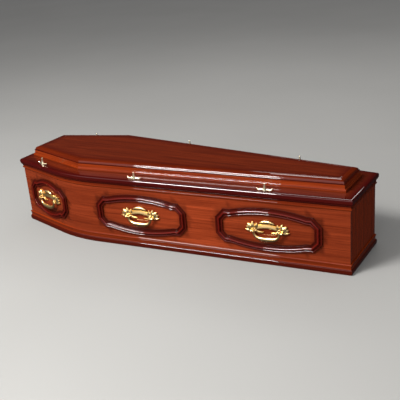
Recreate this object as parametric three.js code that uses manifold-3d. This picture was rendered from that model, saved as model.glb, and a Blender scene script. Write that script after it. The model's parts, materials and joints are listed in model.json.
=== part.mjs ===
// A lacquered wooden coffin of the shouldered kind, closed, with a raised lid, applied side panels,
// six swing handles and six ornamental lid screws. Millimetres, +Z up.
//
// X runs along the length with the head at -X, and Z = 0 is the surface that the coffin stands on.
// Right and left are those of a person lying inside on their back, so the right side faces -Y.

import * as THREE from 'three';
import { mergeVertices } from 'three/addons/utils/BufferGeometryUtils.js';
import Module from 'manifold-3d';

const wasm = await Module();
wasm.setup();

// Body: plan widths over the boards, and where the shoulders are
const LENGTH = 1880;
const HEAD_WIDTH = 380;
const SHOULDER_WIDTH = 620;
const FOOT_WIDTH = 342;
const SHOULDER_FROM_HEAD = 434;
const SHOULDER_BEND_RADIUS = 750;
const BEND_STEPS = 10;
const BODY_HEIGHT = 340;
const BOARD = 18;
const GAP = 0.3;
// How far each end of a mitred length is drawn back from its joint
const MITRE_EASE = 0.21;

// Lid: one flat board, then the moulded raised part with a panel let into it
const LID_THICKNESS = 22;
const LID_OVERHANG = 13;
const LID_ROUND = 9;
const LID_ROUND_STEPS = 3;
const LID_ARRIS = 1.5;
const RAISED_INSET = { side: 80, head: 40, foot: 56 };
const RAISED_HEIGHT = 52;
const RAISED_PANEL_INSET = 38.5;
const RAISED_PANEL = { below: 0.4, bevelIn: 1.5, bevelDown: 0.6 };
const PANEL_LEDGE_HEIGHT = 40;
const PANEL_LEDGE_WIDTH = 7.5;

// Mouldings on the body
const BASE_MOULD_HEIGHT = 51;
const TOP_MOULD_HEIGHT = 29;
const TOP_MOULD_UNDER_LID = 0.4;

// Applied side panels: half sizes of the ring's outer edge, and its moulding, with a round between two
// beds that rise a little to the edges
const FRAME = { width: 36, projection: 14, halfHeight: 108, arcRise: 23, stub: 30, endHalf: 42, cornerIn: 40 };
const FRAME_BED = { edge: 5.8, middle: 4.5, width: 13 };
const FRAME_ROUND = { shoulderIn: 14.2, shoulderOut: 12 };
const FRAME_ARC_STEPS = 5;
const FRAME_CENTRE_Z = 174;
const FRAME_BEDDING = 0.8;

// Places along each side. A head panel is measured along its flat from the head corner, and the other
// two from the shoulder's corner point.
const PANELS = {
  head: { stretch: 'head', at: 221, halfLength: 167 },
  middle: { stretch: 'foot', at: 402, halfLength: 254 },
  foot: { stretch: 'foot', at: 1070, halfLength: 258 },
};
const HANDLE_Z = 168;
const SCREWS = { head: -748, middle: -124, foot: 551 };
const SCREW_FROM_LID_EDGE = 21;

// Handles. A bail's arms thicken to the grip, and its depth is a share of its height.
const PIVOT_OUT = 17;
const BAIL = { halfSpan: 62.5, drop: 36, arm: 5.6, grip: 10.4, depth: 0.8, pin: 3, topZ: 5, topRadius: 4 };
const BAIL_STEPS = 10;
const BAIL_SWELL = 3;
const BAIL_CURVE = { across: 0.7, down: 0.8 };
const LUG = { inner: 69.5, thickness: 8, radius: 6.5, hole: 3.6, holeDepth: 6 };
const PIN_END_PLAY = 1.5;
const PLATE = { thickness: 4, bevel: 1.5 };
// How far the cast parts are sunk into the plate, and a hole's tool runs past the lug
const OVERLAP = 2;
const BAND = { half: 56, middleZ: 26.5, fall: 13, radius: 10.6, sunk: 3 };
const CREST = { half: 38, middleZ: 46.5, fall: 8.5, radius: 9, endRadius: 5, sunk: 3 };
const LEAVES = { x: 77, z: 22, halfWidth: 17, halfHeight: 19, height: 11, lobes: 5, notch: 0.82 };
const LEAF_SHOULDER = { reach: 0.7, rise: 0.75 };

const finishes = {
  wood: { color: 0x8a3a1c, roughness: 0.25, metalness: 0 },
  mould: { color: 0x4a130c, roughness: 0.2, metalness: 0 },
  lid: { color: 0x5e2012, roughness: 0.25, metalness: 0 },
  bare: { color: 0x9a7350, roughness: 0.8, metalness: 0 },
  brass: { color: 0xd9bd7a, roughness: 0.3, metalness: 1 },
};

const coffin = new THREE.Group();

function addPiece(name, geometry, finish) {
  const material = new THREE.MeshStandardMaterial({ ...finishes[finish], flatShading: true });
  const mesh = new THREE.Mesh(geometry, material);
  mesh.name = name;
  coffin.add(mesh);
  return mesh;
}

// Plan geometry: a corner is a point with the outward normals of the edges that meet there

function plan(x, y) {
  return new THREE.Vector2(x, y);
}

function outwardNormal(from, to) {
  const along = to.clone().sub(from).normalize();
  return plan(along.y, -along.x);
}

// The step from a corner's point to the same corner of an outline that lies 1 mm further out
function mitre(before, after) {
  return before.clone().add(after).divideScalar(1 + before.dot(after));
}

const headCorner = plan(-LENGTH / 2, -HEAD_WIDTH / 2);
const shoulderCorner = plan(SHOULDER_FROM_HEAD - LENGTH / 2, -SHOULDER_WIDTH / 2);
const footCorner = plan(LENGTH / 2, -FOOT_WIDTH / 2);
const headStretchNormal = outwardNormal(headCorner, shoulderCorner);
const footStretchNormal = outwardNormal(shoulderCorner, footCorner);
const headNormal = plan(-1, 0);
const footNormal = plan(1, 0);

// The shoulder as stations on an arc: each has a point on the body's face and the way out from it
function shoulderStations() {
  const centre = shoulderCorner.clone()
    .addScaledVector(mitre(headStretchNormal, footStretchNormal), -SHOULDER_BEND_RADIUS);
  const start = headStretchNormal.angle();
  const sweep = footStretchNormal.angle() - start;
  const stations = [];
  for (let i = 0; i <= BEND_STEPS; i++) {
    const angle = start + (sweep * i) / BEND_STEPS;
    const out = plan(Math.cos(angle), Math.sin(angle));
    stations.push({ point: centre.clone().addScaledVector(out, SHOULDER_BEND_RADIUS), out });
  }
  return stations;
}

// The right side from head to foot, with its ends mitred to meet the moulding on the next face
function mitredSide() {
  return [
    { point: headCorner, out: mitre(headNormal, headStretchNormal) },
    ...shoulderStations(),
    { point: footCorner, out: mitre(footStretchNormal, footNormal) },
  ];
}

// The right side from head to foot, with its ends cut square to the length
function squareEndedSide() {
  return [
    { point: headCorner, out: plan(0, 1 / headStretchNormal.y) },
    ...shoulderStations(),
    { point: footCorner, out: plan(0, 1 / footStretchNormal.y) },
  ];
}

function mirrorStation({ point, out }) {
  return { point: plan(point.x, -point.y), out: plan(out.x, -out.y) };
}

// The whole outline, anticlockwise from above
function bodyOutline() {
  const right = mitredSide();
  const left = right.map(mirrorStation).reverse();
  return [...right, ...left];
}

// Both ends of a moulding drawn back a little, so that mitred neighbours don't touch
function easeEnds(stations) {
  const last = stations.length - 1;
  const shift = (from, to) => {
    const along = to.point.clone().sub(from.point).normalize();
    return { point: from.point.clone().addScaledVector(along, MITRE_EASE), out: from.out };
  };
  return [
    shift(stations[0], stations[1]),
    ...stations.slice(1, last),
    shift(stations[last], stations[last - 1]),
  ];
}

// Solids

function solidFrom(positions, triangles) {
  const geometry = new THREE.BufferGeometry();
  geometry.setAttribute('position', new THREE.Float32BufferAttribute(positions.flat(), 3));
  geometry.setIndex(triangles.flat());
  geometry.computeVertexNormals();
  return geometry;
}

// A profile carried along stations. Each profile point is [out, up], and the profile runs anticlockwise
// when it is looked at along the way the stations run, with out to the right.
function sweepAlong(stations, profile) {
  const positions = [];
  for (const { point, out } of stations) {
    for (const [offset, height] of profile) {
      positions.push([point.x + out.x * offset, point.y + out.y * offset, height]);
    }
  }
  const count = profile.length;
  const triangles = [];
  for (let s = 0; s < stations.length - 1; s++) {
    for (let i = 0; i < count; i++) {
      const a = s * count + i;
      const b = s * count + ((i + 1) % count);
      triangles.push([a, a + count, b], [b, a + count, b + count]);
    }
  }
  const outline = profile.map(([offset, height]) => plan(offset, height));
  const lastRing = (stations.length - 1) * count;
  for (const [a, b, c] of THREE.ShapeUtils.triangulateShape(outline, [])) {
    triangles.push([a, b, c], [lastRing + a, lastRing + c, lastRing + b]);
  }
  return solidFrom(positions, triangles);
}

// A flat piece built up in levels, each the same outline at its own offset and height
function stackLevels(outline, levels) {
  const positions = [];
  for (const [offset, height] of levels) {
    for (const { point, out } of outline) {
      positions.push([point.x + out.x * offset, point.y + out.y * offset, height]);
    }
  }
  const count = outline.length;
  const triangles = [];
  for (let level = 0; level < levels.length - 1; level++) {
    for (let i = 0; i < count; i++) {
      const a = level * count + i;
      const b = level * count + ((i + 1) % count);
      triangles.push([a, b, a + count], [b, b + count, a + count]);
    }
  }
  const top = (levels.length - 1) * count;
  const ring = outline.map(({ point }) => point);
  for (const [a, b, c] of THREE.ShapeUtils.triangulateShape(ring, [])) {
    triangles.push([a, c, b], [top + a, top + b, top + c]);
  }
  return solidFrom(positions, triangles);
}

function mirrored(geometry) {
  const copy = geometry.clone();
  copy.scale(1, -1, 1);
  const index = copy.getIndex();
  for (let i = 0; i < index.count; i += 3) {
    const kept = index.getX(i);
    index.setX(i, index.getX(i + 1));
    index.setX(i + 1, kept);
  }
  copy.computeVertexNormals();
  return copy;
}

function toManifold(geometry) {
  const bare = geometry.clone();
  bare.deleteAttribute('normal');
  bare.deleteAttribute('uv');
  const merged = mergeVertices(bare, 1e-4);
  return new wasm.Manifold(new wasm.Mesh({
    numProp: 3,
    vertProperties: new Float32Array(merged.getAttribute('position').array),
    triVerts: new Uint32Array(merged.getIndex().array),
  }));
}

function fromManifold(manifold) {
  const mesh = manifold.getMesh();
  const geometry = new THREE.BufferGeometry();
  geometry.setAttribute('position', new THREE.Float32BufferAttribute(mesh.vertProperties, 3));
  geometry.setIndex([...mesh.triVerts]);
  geometry.computeVertexNormals();
  return geometry;
}

function join(geometries) {
  return geometries.map(toManifold).reduce((whole, piece) => whole.add(piece));
}

// Body boards

function buildBody() {
  addPiece('base_board', stackLevels(bodyOutline(), [[0, 0], [0, BOARD]]), 'bare');

  const low = BOARD + GAP;
  const sideProfile = [[-BOARD, low], [0, low], [0, BODY_HEIGHT], [-BOARD, BODY_HEIGHT]];
  const side = sweepAlong(squareEndedSide(), sideProfile);
  addPiece('side_right', side, 'wood');
  addPiece('side_left', mirrored(side), 'wood');

  addPiece('head_end', endBoard(headCorner, headStretchNormal, 1), 'wood');
  addPiece('foot_end', endBoard(footCorner, footStretchNormal, -1), 'wood');
}

// An end board fits between the sides, so its edges follow their inner faces
function endBoard(corner, sideNormal, inward) {
  const innerFaceY = (x) => {
    const inside = corner.clone().addScaledVector(sideNormal, -BOARD - GAP);
    return inside.y - (sideNormal.x / sideNormal.y) * (x - inside.x);
  };
  const outerX = corner.x;
  const innerX = corner.x + inward * BOARD;
  const shape = new THREE.Shape([
    plan(outerX, innerFaceY(outerX)),
    plan(innerX, innerFaceY(innerX)),
    plan(innerX, -innerFaceY(innerX)),
    plan(outerX, -innerFaceY(outerX)),
  ]);
  const low = BOARD + GAP;
  const geometry = new THREE.ExtrudeGeometry(shape, { depth: BODY_HEIGHT - low, bevelEnabled: false });
  return geometry.translate(0, 0, low);
}

// Mouldings round the body

// Base moulding: a torus at the floor, a shallow cove and a bead on top
const baseMouldProfile = [
  [GAP, 0], [7.2, 0], [8.6, 4], [9, 12], [8.2, 20], [5.6, 24.4],
  [3.8, 28], [3.4, 34], [4.4, 41], [6.2, 44], [6.4, 48], [4.6, 50.6], [GAP, BASE_MOULD_HEIGHT],
];

// Top moulding: a small bead below, then a cove that opens out to meet the lid
function topMouldProfile() {
  const low = BODY_HEIGHT - TOP_MOULD_HEIGHT;
  const top = BODY_HEIGHT - TOP_MOULD_UNDER_LID;
  return [
    [GAP, low], [4.2, low], [6.3, low + 1.6], [6.6, low + 4], [4.8, low + 6.2], [3.3, low + 8],
    [4.6, low + 16.5], [7.4, low + 21.5], [10.2, low + 24.5], [10.4, top], [GAP, top],
  ];
}

function endStations(corner, sideNormal, endNormal) {
  const near = { point: corner, out: mitre(sideNormal, endNormal) };
  const far = mirrorStation(near);
  return endNormal.x > 0 ? [near, far] : [far, near];
}

function buildBodyMouldings() {
  for (const [label, profile] of [['base_mould', baseMouldProfile], ['top_mould', topMouldProfile()]]) {
    const side = sweepAlong(easeEnds(mitredSide()), profile);
    addPiece(`${label}_right`, side, 'mould');
    addPiece(`${label}_left`, mirrored(side), 'mould');
    const head = easeEnds(endStations(headCorner, headStretchNormal, headNormal));
    const foot = easeEnds(endStations(footCorner, footStretchNormal, footNormal));
    addPiece(`${label}_head`, sweepAlong(head, profile), 'mould');
    addPiece(`${label}_foot`, sweepAlong(foot, profile), 'mould');
  }
}

// Lid

const lidLow = BODY_HEIGHT + GAP;
const lidTop = BODY_HEIGHT + LID_THICKNESS;

function buildLidBoard() {
  const levels = [[LID_OVERHANG - LID_ARRIS, lidLow], [LID_OVERHANG, lidLow + LID_ARRIS]];
  for (let i = 0; i <= LID_ROUND_STEPS; i++) {
    const angle = (i / LID_ROUND_STEPS) * (Math.PI / 2);
    const out = LID_OVERHANG - LID_ROUND * (1 - Math.cos(angle));
    levels.push([out, lidTop - LID_ROUND * (1 - Math.sin(angle))]);
  }
  addPiece('lid_board', stackLevels(bodyOutline(), levels), 'lid');
}

// The raised part's outline is set in from the lid's edge by its own distance at the head, the sides
// and the foot, and its corners, the shoulders too, are sharp.
function raisedOutline() {
  const set = (inset) => LID_OVERHANG - inset;
  const edges = [
    { at: headCorner, normal: headStretchNormal, offset: set(RAISED_INSET.side) },
    { at: footCorner, normal: footStretchNormal, offset: set(RAISED_INSET.side) },
    { at: footCorner, normal: footNormal, offset: set(RAISED_INSET.foot) },
  ];
  const mirroredEdge = ({ at, normal, offset }) => (
    { at: plan(at.x, -at.y), normal: plan(normal.x, -normal.y), offset }
  );
  const headEdge = { at: headCorner, normal: headNormal, offset: set(RAISED_INSET.head) };
  const loop = [...edges, mirroredEdge(edges[1]), mirroredEdge(edges[0]), headEdge];
  return loop.map((edge, i) => {
    const before = loop[(i + loop.length - 1) % loop.length];
    return { point: crossing(before, edge), out: mitre(before.normal, edge.normal) };
  });
}

function crossing(a, b) {
  const reachA = a.at.dot(a.normal) + a.offset;
  const reachB = b.at.dot(b.normal) + b.offset;
  const det = a.normal.cross(b.normal);
  return plan(
    (reachA * b.normal.y - reachB * a.normal.y) / det,
    (a.normal.x * reachB - b.normal.x * reachA) / det,
  );
}

// Raised moulding, given as [in from its foot, up from the lid]: a bead, a leaning riser, a fillet, a
// small bead and a broad ovolo, with a ledge at the back for the panel
const raisedProfile = [
  [1, GAP], [0, 3], [0, 10.5], [1.8, 13.6], [4.6, 14], [6, 16.5], [7.6, 24], [9.8, 32.4],
  [7.8, 33.4], [7.6, 36.2], [10, 36.4], [11.8, 38.4], [12.6, 41], [14, 43.6], [18.5, 47.8], [27, 50.9],
  [RAISED_PANEL_INSET - GAP, RAISED_HEIGHT],
  [RAISED_PANEL_INSET - GAP, PANEL_LEDGE_HEIGHT],
  [RAISED_PANEL_INSET + PANEL_LEDGE_WIDTH, PANEL_LEDGE_HEIGHT],
  [RAISED_PANEL_INSET + PANEL_LEDGE_WIDTH, GAP],
];

function buildRaisedLid() {
  const outline = raisedOutline();
  const names = ['right_head', 'right_foot', 'foot', 'left_foot', 'left_head', 'head'];
  const profile = raisedProfile.map(([inward, up]) => [-inward, lidTop + up]);
  names.forEach((name, i) => {
    const stations = easeEnds([outline[i], outline[(i + 1) % outline.length]]);
    addPiece(`raised_mould_${name}`, sweepAlong(stations, profile), 'mould');
  });
  const panelTop = lidTop + RAISED_HEIGHT - RAISED_PANEL.below;
  const panelLevels = [
    [-RAISED_PANEL_INSET, lidTop + PANEL_LEDGE_HEIGHT + GAP],
    [-RAISED_PANEL_INSET, panelTop - RAISED_PANEL.bevelDown],
    [-RAISED_PANEL_INSET - RAISED_PANEL.bevelIn, panelTop],
  ];
  addPiece('top_panel', stackLevels(outline, panelLevels), 'lid');
}

// Side panels

// A place on the right side's outer face: a distance along the way its flat stretches and bend run,
// counted from the head corner, and a distance out from the face
function placeOnSide(distance, outward) {
  const bend = shoulderStations();
  const points = [headCorner, ...bend.map(({ point }) => point), footCorner];
  const normals = [headStretchNormal, ...bend.map(({ out }) => out), footStretchNormal];
  let left = distance;
  for (let i = 0; i < points.length - 1; i++) {
    const step = points[i].distanceTo(points[i + 1]);
    if (left <= step || i === points.length - 2) {
      const share = left / step;
      const out = normals[i].clone().lerp(normals[i + 1], share).normalize();
      return points[i].clone().lerp(points[i + 1], share).addScaledVector(out, outward);
    }
    left -= step;
  }
  return footCorner;
}

// How far along that way a panel's middle lies
function distanceOfPanel({ stretch, at }) {
  if (stretch === 'head') {
    return at;
  }
  const bend = shoulderStations();
  const end = bend[bend.length - 1].point;
  let bendLength = 0;
  for (let i = 0; i < bend.length - 1; i++) {
    bendLength += bend[i].point.distanceTo(bend[i + 1].point);
  }
  return headCorner.distanceTo(bend[0].point) + bendLength + at - shoulderCorner.distanceTo(end);
}

// The ring's outline in the panel's own plane: bowed long edges, a short straight at the end of each,
// cut corners and straight ends
function panelOutline(halfLength) {
  const { halfHeight, arcRise, stub, endHalf, cornerIn } = FRAME;
  const arcHalf = halfLength - cornerIn - stub;
  const arcEndHeight = halfHeight - arcRise;
  const arcRadius = (arcHalf ** 2 + arcRise ** 2) / (2 * arcRise);
  const upper = [plan(halfLength, endHalf), plan(arcHalf + stub, arcEndHeight)];
  for (let i = 0; i <= FRAME_ARC_STEPS; i++) {
    const x = arcHalf * (1 - (2 * i) / FRAME_ARC_STEPS);
    upper.push(plan(x, halfHeight - arcRadius + Math.sqrt(arcRadius ** 2 - x ** 2)));
  }
  upper.push(plan(-arcHalf - stub, arcEndHeight), plan(-halfLength, endHalf));
  return [...upper, ...upper.map((p) => plan(-p.x, -p.y))];
}

// The moulding's section as [in from the outer edge, out from the side]: two beds and a round between
function frameMouldingSection() {
  const half = [
    [0, FRAME_BEDDING], [0, FRAME_BED.edge], [FRAME_BED.width, FRAME_BED.middle],
    [FRAME_ROUND.shoulderIn, FRAME_ROUND.shoulderOut],
  ];
  const farHalf = half.map(([inward, proud]) => [FRAME.width - inward, proud]).reverse();
  return [...half, [FRAME.width / 2, FRAME.projection], ...farHalf];
}

function buildPanelFrame(panel) {
  const outline = panelOutline(panel.halfLength);
  const frameSection = frameMouldingSection();
  const middle = distanceOfPanel(panel);
  const positions = [];
  outline.forEach((corner, i) => {
    const before = outline[(i + outline.length - 1) % outline.length];
    const after = outline[(i + 1) % outline.length];
    const out = mitre(outwardNormal(before, corner), outwardNormal(corner, after));
    for (const [inward, proud] of frameSection) {
      const along = corner.x - out.x * inward;
      const up = corner.y - out.y * inward;
      const place = placeOnSide(middle + along, proud);
      positions.push([place.x, place.y, FRAME_CENTRE_Z + up]);
    }
  });
  const count = frameSection.length;
  const total = positions.length;
  const triangles = [];
  for (let s = 0; s < outline.length; s++) {
    for (let i = 0; i < count; i++) {
      const a = s * count + i;
      const b = s * count + ((i + 1) % count);
      const c = (a + count) % total;
      const d = (b + count) % total;
      triangles.push([a, c, b], [b, c, d]);
    }
  }
  return solidFrom(positions, triangles);
}

// Handles, built about the pivot line's middle: X along the side, Z up and -Y away from the wood

const woodFace = PIVOT_OUT - GAP;

// Half of the back plate's edge, from the top of the crest round to the arch over the bail
const plateEdge = [
  [0, 57], [20, 54], [36, 46], [43, 40], [54, 38], [63, 44], [77, 51], [80, 42], [92, 39],
  [92, 29], [108, 15], [94, -3], [80, -8], [52, -3], [33, 7], [18, 14], [0, 17],
];

function plateOutline() {
  const left = plateEdge.slice(1, -1).map(([x, z]) => [-x, z]);
  return [...left, plateEdge[plateEdge.length - 1], ...plateEdge.slice(1, -1).reverse(), plateEdge[0]];
}

// A flat cast shape with a bevelled front edge, its back on the wood
function castPlate(outline) {
  const corners = outline.map(([x, z]) => plan(x, z));
  const ring = corners.map((corner, i) => {
    const before = corners[(i + corners.length - 1) % corners.length];
    const after = corners[(i + 1) % corners.length];
    const out = outwardNormal(before, corner).add(outwardNormal(corner, after)).normalize();
    return { point: corner, out };
  });
  const geometry = stackLevels(ring, [[0, 0], [-PLATE.bevel, PLATE.thickness]]);
  return geometry.rotateX(Math.PI / 2).translate(0, woodFace, 0);
}

// A low dome with a lobed edge, as a cast cluster of leaves has
function leafCluster(side) {
  const { halfWidth, halfHeight, height, lobes, notch } = LEAVES;
  const x = side * LEAVES.x;
  const base = woodFace - OVERLAP;
  const around = lobes * 2;
  const rings = [[1, 0], [LEAF_SHOULDER.reach, LEAF_SHOULDER.rise]];
  const positions = [];
  for (const [reach, rise] of rings) {
    for (let i = 0; i < around; i++) {
      const angle = (i / around) * Math.PI * 2;
      const lobe = i % 2 === 0 ? 1 : notch;
      positions.push([
        x + Math.cos(angle) * halfWidth * reach * lobe,
        base - rise * height,
        LEAVES.z + Math.sin(angle) * halfHeight * reach * lobe,
      ]);
    }
  }
  positions.push([x, base - height, LEAVES.z], [x, base, LEAVES.z]);
  const tip = positions.length - 2;
  const back = positions.length - 1;
  const triangles = [];
  for (let i = 0; i < around; i++) {
    const next = (i + 1) % around;
    for (let ring = 0; ring < rings.length - 1; ring++) {
      const a = ring * around;
      triangles.push([a + i, a + next, a + around + i], [a + next, a + around + next, a + around + i]);
    }
    const last = (rings.length - 1) * around;
    triangles.push([last + i, last + next, tip], [next, i, back]);
  }
  return solidFrom(positions, triangles);
}

// A round bar along a path in the handle's own plane, given as [x, z, radius], pressed to a share of
// its depth, and cut flat at the back
function bar(path, sides, pressed, back) {
  const positions = [];
  path.forEach(([x, z, radius], i) => {
    const before = path[Math.max(i - 1, 0)];
    const after = path[Math.min(i + 1, path.length - 1)];
    const along = plan(after[0] - before[0], after[1] - before[1]).normalize();
    for (let k = 0; k < sides; k++) {
      const angle = ((k + 0.5) / sides) * Math.PI * 2;
      const across = Math.cos(angle) * radius;
      const deep = Math.min(Math.sin(angle) * radius * pressed, back);
      positions.push([x - along.y * across, deep, z + along.x * across]);
    }
  });
  const triangles = [];
  for (let s = 0; s < path.length - 1; s++) {
    for (let k = 0; k < sides; k++) {
      const a = s * sides + k;
      const b = s * sides + ((k + 1) % sides);
      triangles.push([a, a + sides, b], [b, a + sides, b + sides]);
    }
  }
  const last = (path.length - 1) * sides;
  for (let k = 1; k < sides - 1; k++) {
    triangles.push([0, k, k + 1], [last, last + k + 1, last + k]);
  }
  return solidFrom(positions, triangles);
}

function lug(side) {
  const shape = new THREE.Shape();
  shape.moveTo(-LUG.radius, 0);
  shape.absarc(0, 0, LUG.radius, Math.PI, Math.PI * 2, false);
  shape.lineTo(LUG.radius, woodFace - OVERLAP);
  shape.lineTo(-LUG.radius, woodFace - OVERLAP);
  const body = new THREE.ExtrudeGeometry(shape, { depth: LUG.thickness, bevelEnabled: false, curveSegments: 4 });
  const start = side > 0 ? LUG.inner : -LUG.inner - LUG.thickness;
  return body.rotateY(Math.PI / 2).translate(start, 0, 0);
}

function pivotHole(side) {
  const depth = LUG.holeDepth + OVERLAP;
  const hole = new THREE.CylinderGeometry(LUG.hole, LUG.hole, depth, 8);
  hole.rotateZ(Math.PI / 2);
  return hole.translate(side * (LUG.inner - OVERLAP + depth / 2), 0, 0);
}

// A rounded ridge that arches over the bail, thinner towards its ends
function archedRidge({ half, middleZ, fall, radius, endRadius = radius, sunk }) {
  const path = [-1, -1 / 3, 1 / 3, 1].map((share) => (
    [share * half, middleZ - share ** 2 * fall, radius + (endRadius - radius) * share ** 2]
  ));
  return bar(path, 6, 0.75, sunk / 2).translate(0, woodFace - sunk, 0);
}

function buildHandlePlate() {
  const pieces = [castPlate(plateOutline()), archedRidge(BAND), archedRidge(CREST)];
  for (const side of [-1, 1]) {
    pieces.push(leafCluster(side), lug(side));
  }
  const holes = join([-1, 1].map(pivotHole));
  return fromManifold(join(pieces).subtract(holes));
}

function buildBail() {
  const path = [[-BAIL.halfSpan, BAIL.topZ, BAIL.topRadius]];
  for (let i = 0; i <= BAIL_STEPS; i++) {
    const angle = (i / BAIL_STEPS) * Math.PI;
    const across = Math.abs(Math.cos(angle)) ** BAIL_CURVE.across;
    const x = -Math.sign(Math.cos(angle)) * across * BAIL.halfSpan;
    const z = -(Math.sin(angle) ** BAIL_CURVE.down) * BAIL.drop;
    path.push([x, z, BAIL.arm + (BAIL.grip - BAIL.arm) * Math.sin(angle) ** BAIL_SWELL]);
  }
  path.push([BAIL.halfSpan, BAIL.topZ, BAIL.topRadius]);
  const pins = [-1, 1].map((side) => {
    const length = LUG.inner + LUG.holeDepth - PIN_END_PLAY - BAIL.halfSpan;
    const pin = new THREE.CylinderGeometry(BAIL.pin, BAIL.pin, length, 8);
    return pin.rotateZ(Math.PI / 2).translate(side * (BAIL.halfSpan + length / 2), 0, 0);
  });
  return fromManifold(join([bar(path, 8, BAIL.depth, BAIL.grip), ...pins]));
}

// Lid screws

// Two wings with turned-up ends, and a tapering stem with a small knob
const WING = { half: 38, thickness: 9, height: 10, tip: 15.5 };
const STEM_HEIGHT = 37;
const STEM_SIDES = 8;
// From the lid up: a boss, a cone, a neck and a knob, each ring given as [radius, height]
const stemProfile = [[0, 0], [9.6, 0], [9.6, 3], [7, 9], [5.4, 18], [3, 29], [4.2, 32.5], [0, STEM_HEIGHT]];

function buildLidScrew() {
  const half = [
    [0, 1], [WING.half - 8, 1], [WING.half - 2, 4], [WING.half, 10], [WING.half - 3, WING.tip],
    [WING.half - 6.5, 12], [WING.half - 10, WING.height], [0, WING.height],
  ];
  const left = half.slice(1, -1).reverse().map(([x, z]) => plan(-x, z));
  const shape = new THREE.Shape([...half.map(([x, z]) => plan(x, z)), ...left]);
  const wings = new THREE.ExtrudeGeometry(shape, { depth: WING.thickness, bevelEnabled: false });
  wings.rotateX(Math.PI / 2).translate(0, WING.thickness / 2, 0);
  const stem = new THREE.LatheGeometry(stemProfile.map(([r, z]) => plan(r, z)), STEM_SIDES);
  stem.rotateX(Math.PI / 2);
  return fromManifold(join([wings, stem]));
}

// The coffin

function angleAlong(normal) {
  return Math.atan2(normal.x, -normal.y);
}

function placeHandles() {
  const plate = buildHandlePlate();
  const bail = buildBail();
  for (const [place, panel] of Object.entries(PANELS)) {
    const normal = panel.stretch === 'head' ? headStretchNormal : footStretchNormal;
    const start = panel.stretch === 'head' ? headCorner : shoulderCorner;
    const along = plan(-normal.y, normal.x);
    const pivot = start.clone().addScaledVector(along, panel.at).addScaledVector(normal, PIVOT_OUT);
    const turn = angleAlong(normal);
    for (const [label, geometry] of [['plate', plate], ['bail', bail]]) {
      const right = addPiece(`handle_${label}_right_${place}`, geometry, 'brass');
      right.position.set(pivot.x, pivot.y, HANDLE_Z);
      right.rotation.z = turn;
      const left = addPiece(`handle_${label}_left_${place}`, geometry, 'brass');
      left.position.set(pivot.x, -pivot.y, HANDLE_Z);
      left.rotation.z = Math.PI - turn;
    }
  }
}

function placePanelFrames() {
  for (const [place, panel] of Object.entries(PANELS)) {
    const frame = buildPanelFrame(panel);
    addPiece(`panel_frame_right_${place}`, frame, 'mould');
    addPiece(`panel_frame_left_${place}`, mirrored(frame), 'mould');
  }
}

function placeLidScrews() {
  const screw = buildLidScrew();
  const inset = LID_OVERHANG - SCREW_FROM_LID_EDGE;
  for (const [place, x] of Object.entries(SCREWS)) {
    const normal = place === 'head' ? headStretchNormal : footStretchNormal;
    const start = place === 'head' ? headCorner : footCorner;
    const onLine = start.clone().addScaledVector(normal, inset);
    const y = onLine.y - (normal.x / normal.y) * (x - onLine.x);
    const turn = angleAlong(normal);
    for (const [side, sign] of [['right', 1], ['left', -1]]) {
      const mesh = addPiece(`lid_screw_${side}_${place}`, screw, 'brass');
      mesh.position.set(x, sign * y, lidTop + GAP);
      mesh.rotation.z = sign * turn;
    }
  }
}

buildBody();
buildBodyMouldings();
buildLidBoard();
buildRaisedLid();
placePanelFrames();
placeHandles();
placeLidScrews();

export default coffin;
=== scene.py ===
"""A lacquered mahogany coffin with a raised lid, framed side panels, brass bail handles and lid screws.

Sizes in the classes are in millimetres, and meshes are made in metres. The head is at -X, and the right
side, that of a person lying inside on their back, faces -Y.
"""

import json
import logging
import math
from dataclasses import dataclass, field
from enum import Enum
from typing import Callable, Iterable, Sequence

import bpy
import numpy as np
from mathutils import Matrix, Vector


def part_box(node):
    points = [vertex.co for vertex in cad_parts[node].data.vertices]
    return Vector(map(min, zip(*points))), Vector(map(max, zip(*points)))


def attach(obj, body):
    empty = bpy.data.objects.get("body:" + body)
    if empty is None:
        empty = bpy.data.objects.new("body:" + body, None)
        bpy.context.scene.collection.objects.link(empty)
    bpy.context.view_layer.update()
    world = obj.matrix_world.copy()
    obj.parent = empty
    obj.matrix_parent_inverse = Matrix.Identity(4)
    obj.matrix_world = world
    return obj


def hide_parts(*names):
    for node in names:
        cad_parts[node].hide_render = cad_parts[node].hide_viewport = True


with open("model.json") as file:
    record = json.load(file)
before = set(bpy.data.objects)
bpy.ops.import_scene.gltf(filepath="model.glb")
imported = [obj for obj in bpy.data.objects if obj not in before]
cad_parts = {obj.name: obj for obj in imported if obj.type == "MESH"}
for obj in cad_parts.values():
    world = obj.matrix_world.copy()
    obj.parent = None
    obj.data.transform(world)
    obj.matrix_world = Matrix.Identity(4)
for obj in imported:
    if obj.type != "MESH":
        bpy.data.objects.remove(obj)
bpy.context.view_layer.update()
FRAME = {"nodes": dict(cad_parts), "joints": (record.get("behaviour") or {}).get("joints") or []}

LOG = logging.getLogger("coffin")
MM = 0.001
# Width of the photograph in pixels, which the camera's focal length is measured in
PHOTO_SIDE = 400
# Mesh attributes that the finishes read
GRAIN = "grain"
SPRAY_AND_SHADE = "spray"
RELIEF = "relief"
# How far every point of a casting with no flat back counts as standing off it
PROUD = 20.0
# An angle that no edge reaches, for a mesh that stays smooth all over
NEVER_SHARP = 180.0

Pair = tuple[float, float]
Point = tuple[float, float, float]
Profile = tuple[list[np.ndarray], list[float]]
Socket = bpy.types.NodeSocket


class Side(Enum):
    """The two long sides, with the sign of the mirror that makes each from the right one."""

    RIGHT = 1
    LEFT = -1

    @property
    def label(self) -> str:
        """The side's name as the nodes spell it."""
        return self.name.lower()


class Place(Enum):
    """The three places along each side that have a panel, a handle and a lid screw."""

    HEAD = "head"
    MIDDLE = "middle"
    FOOT = "foot"


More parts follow.
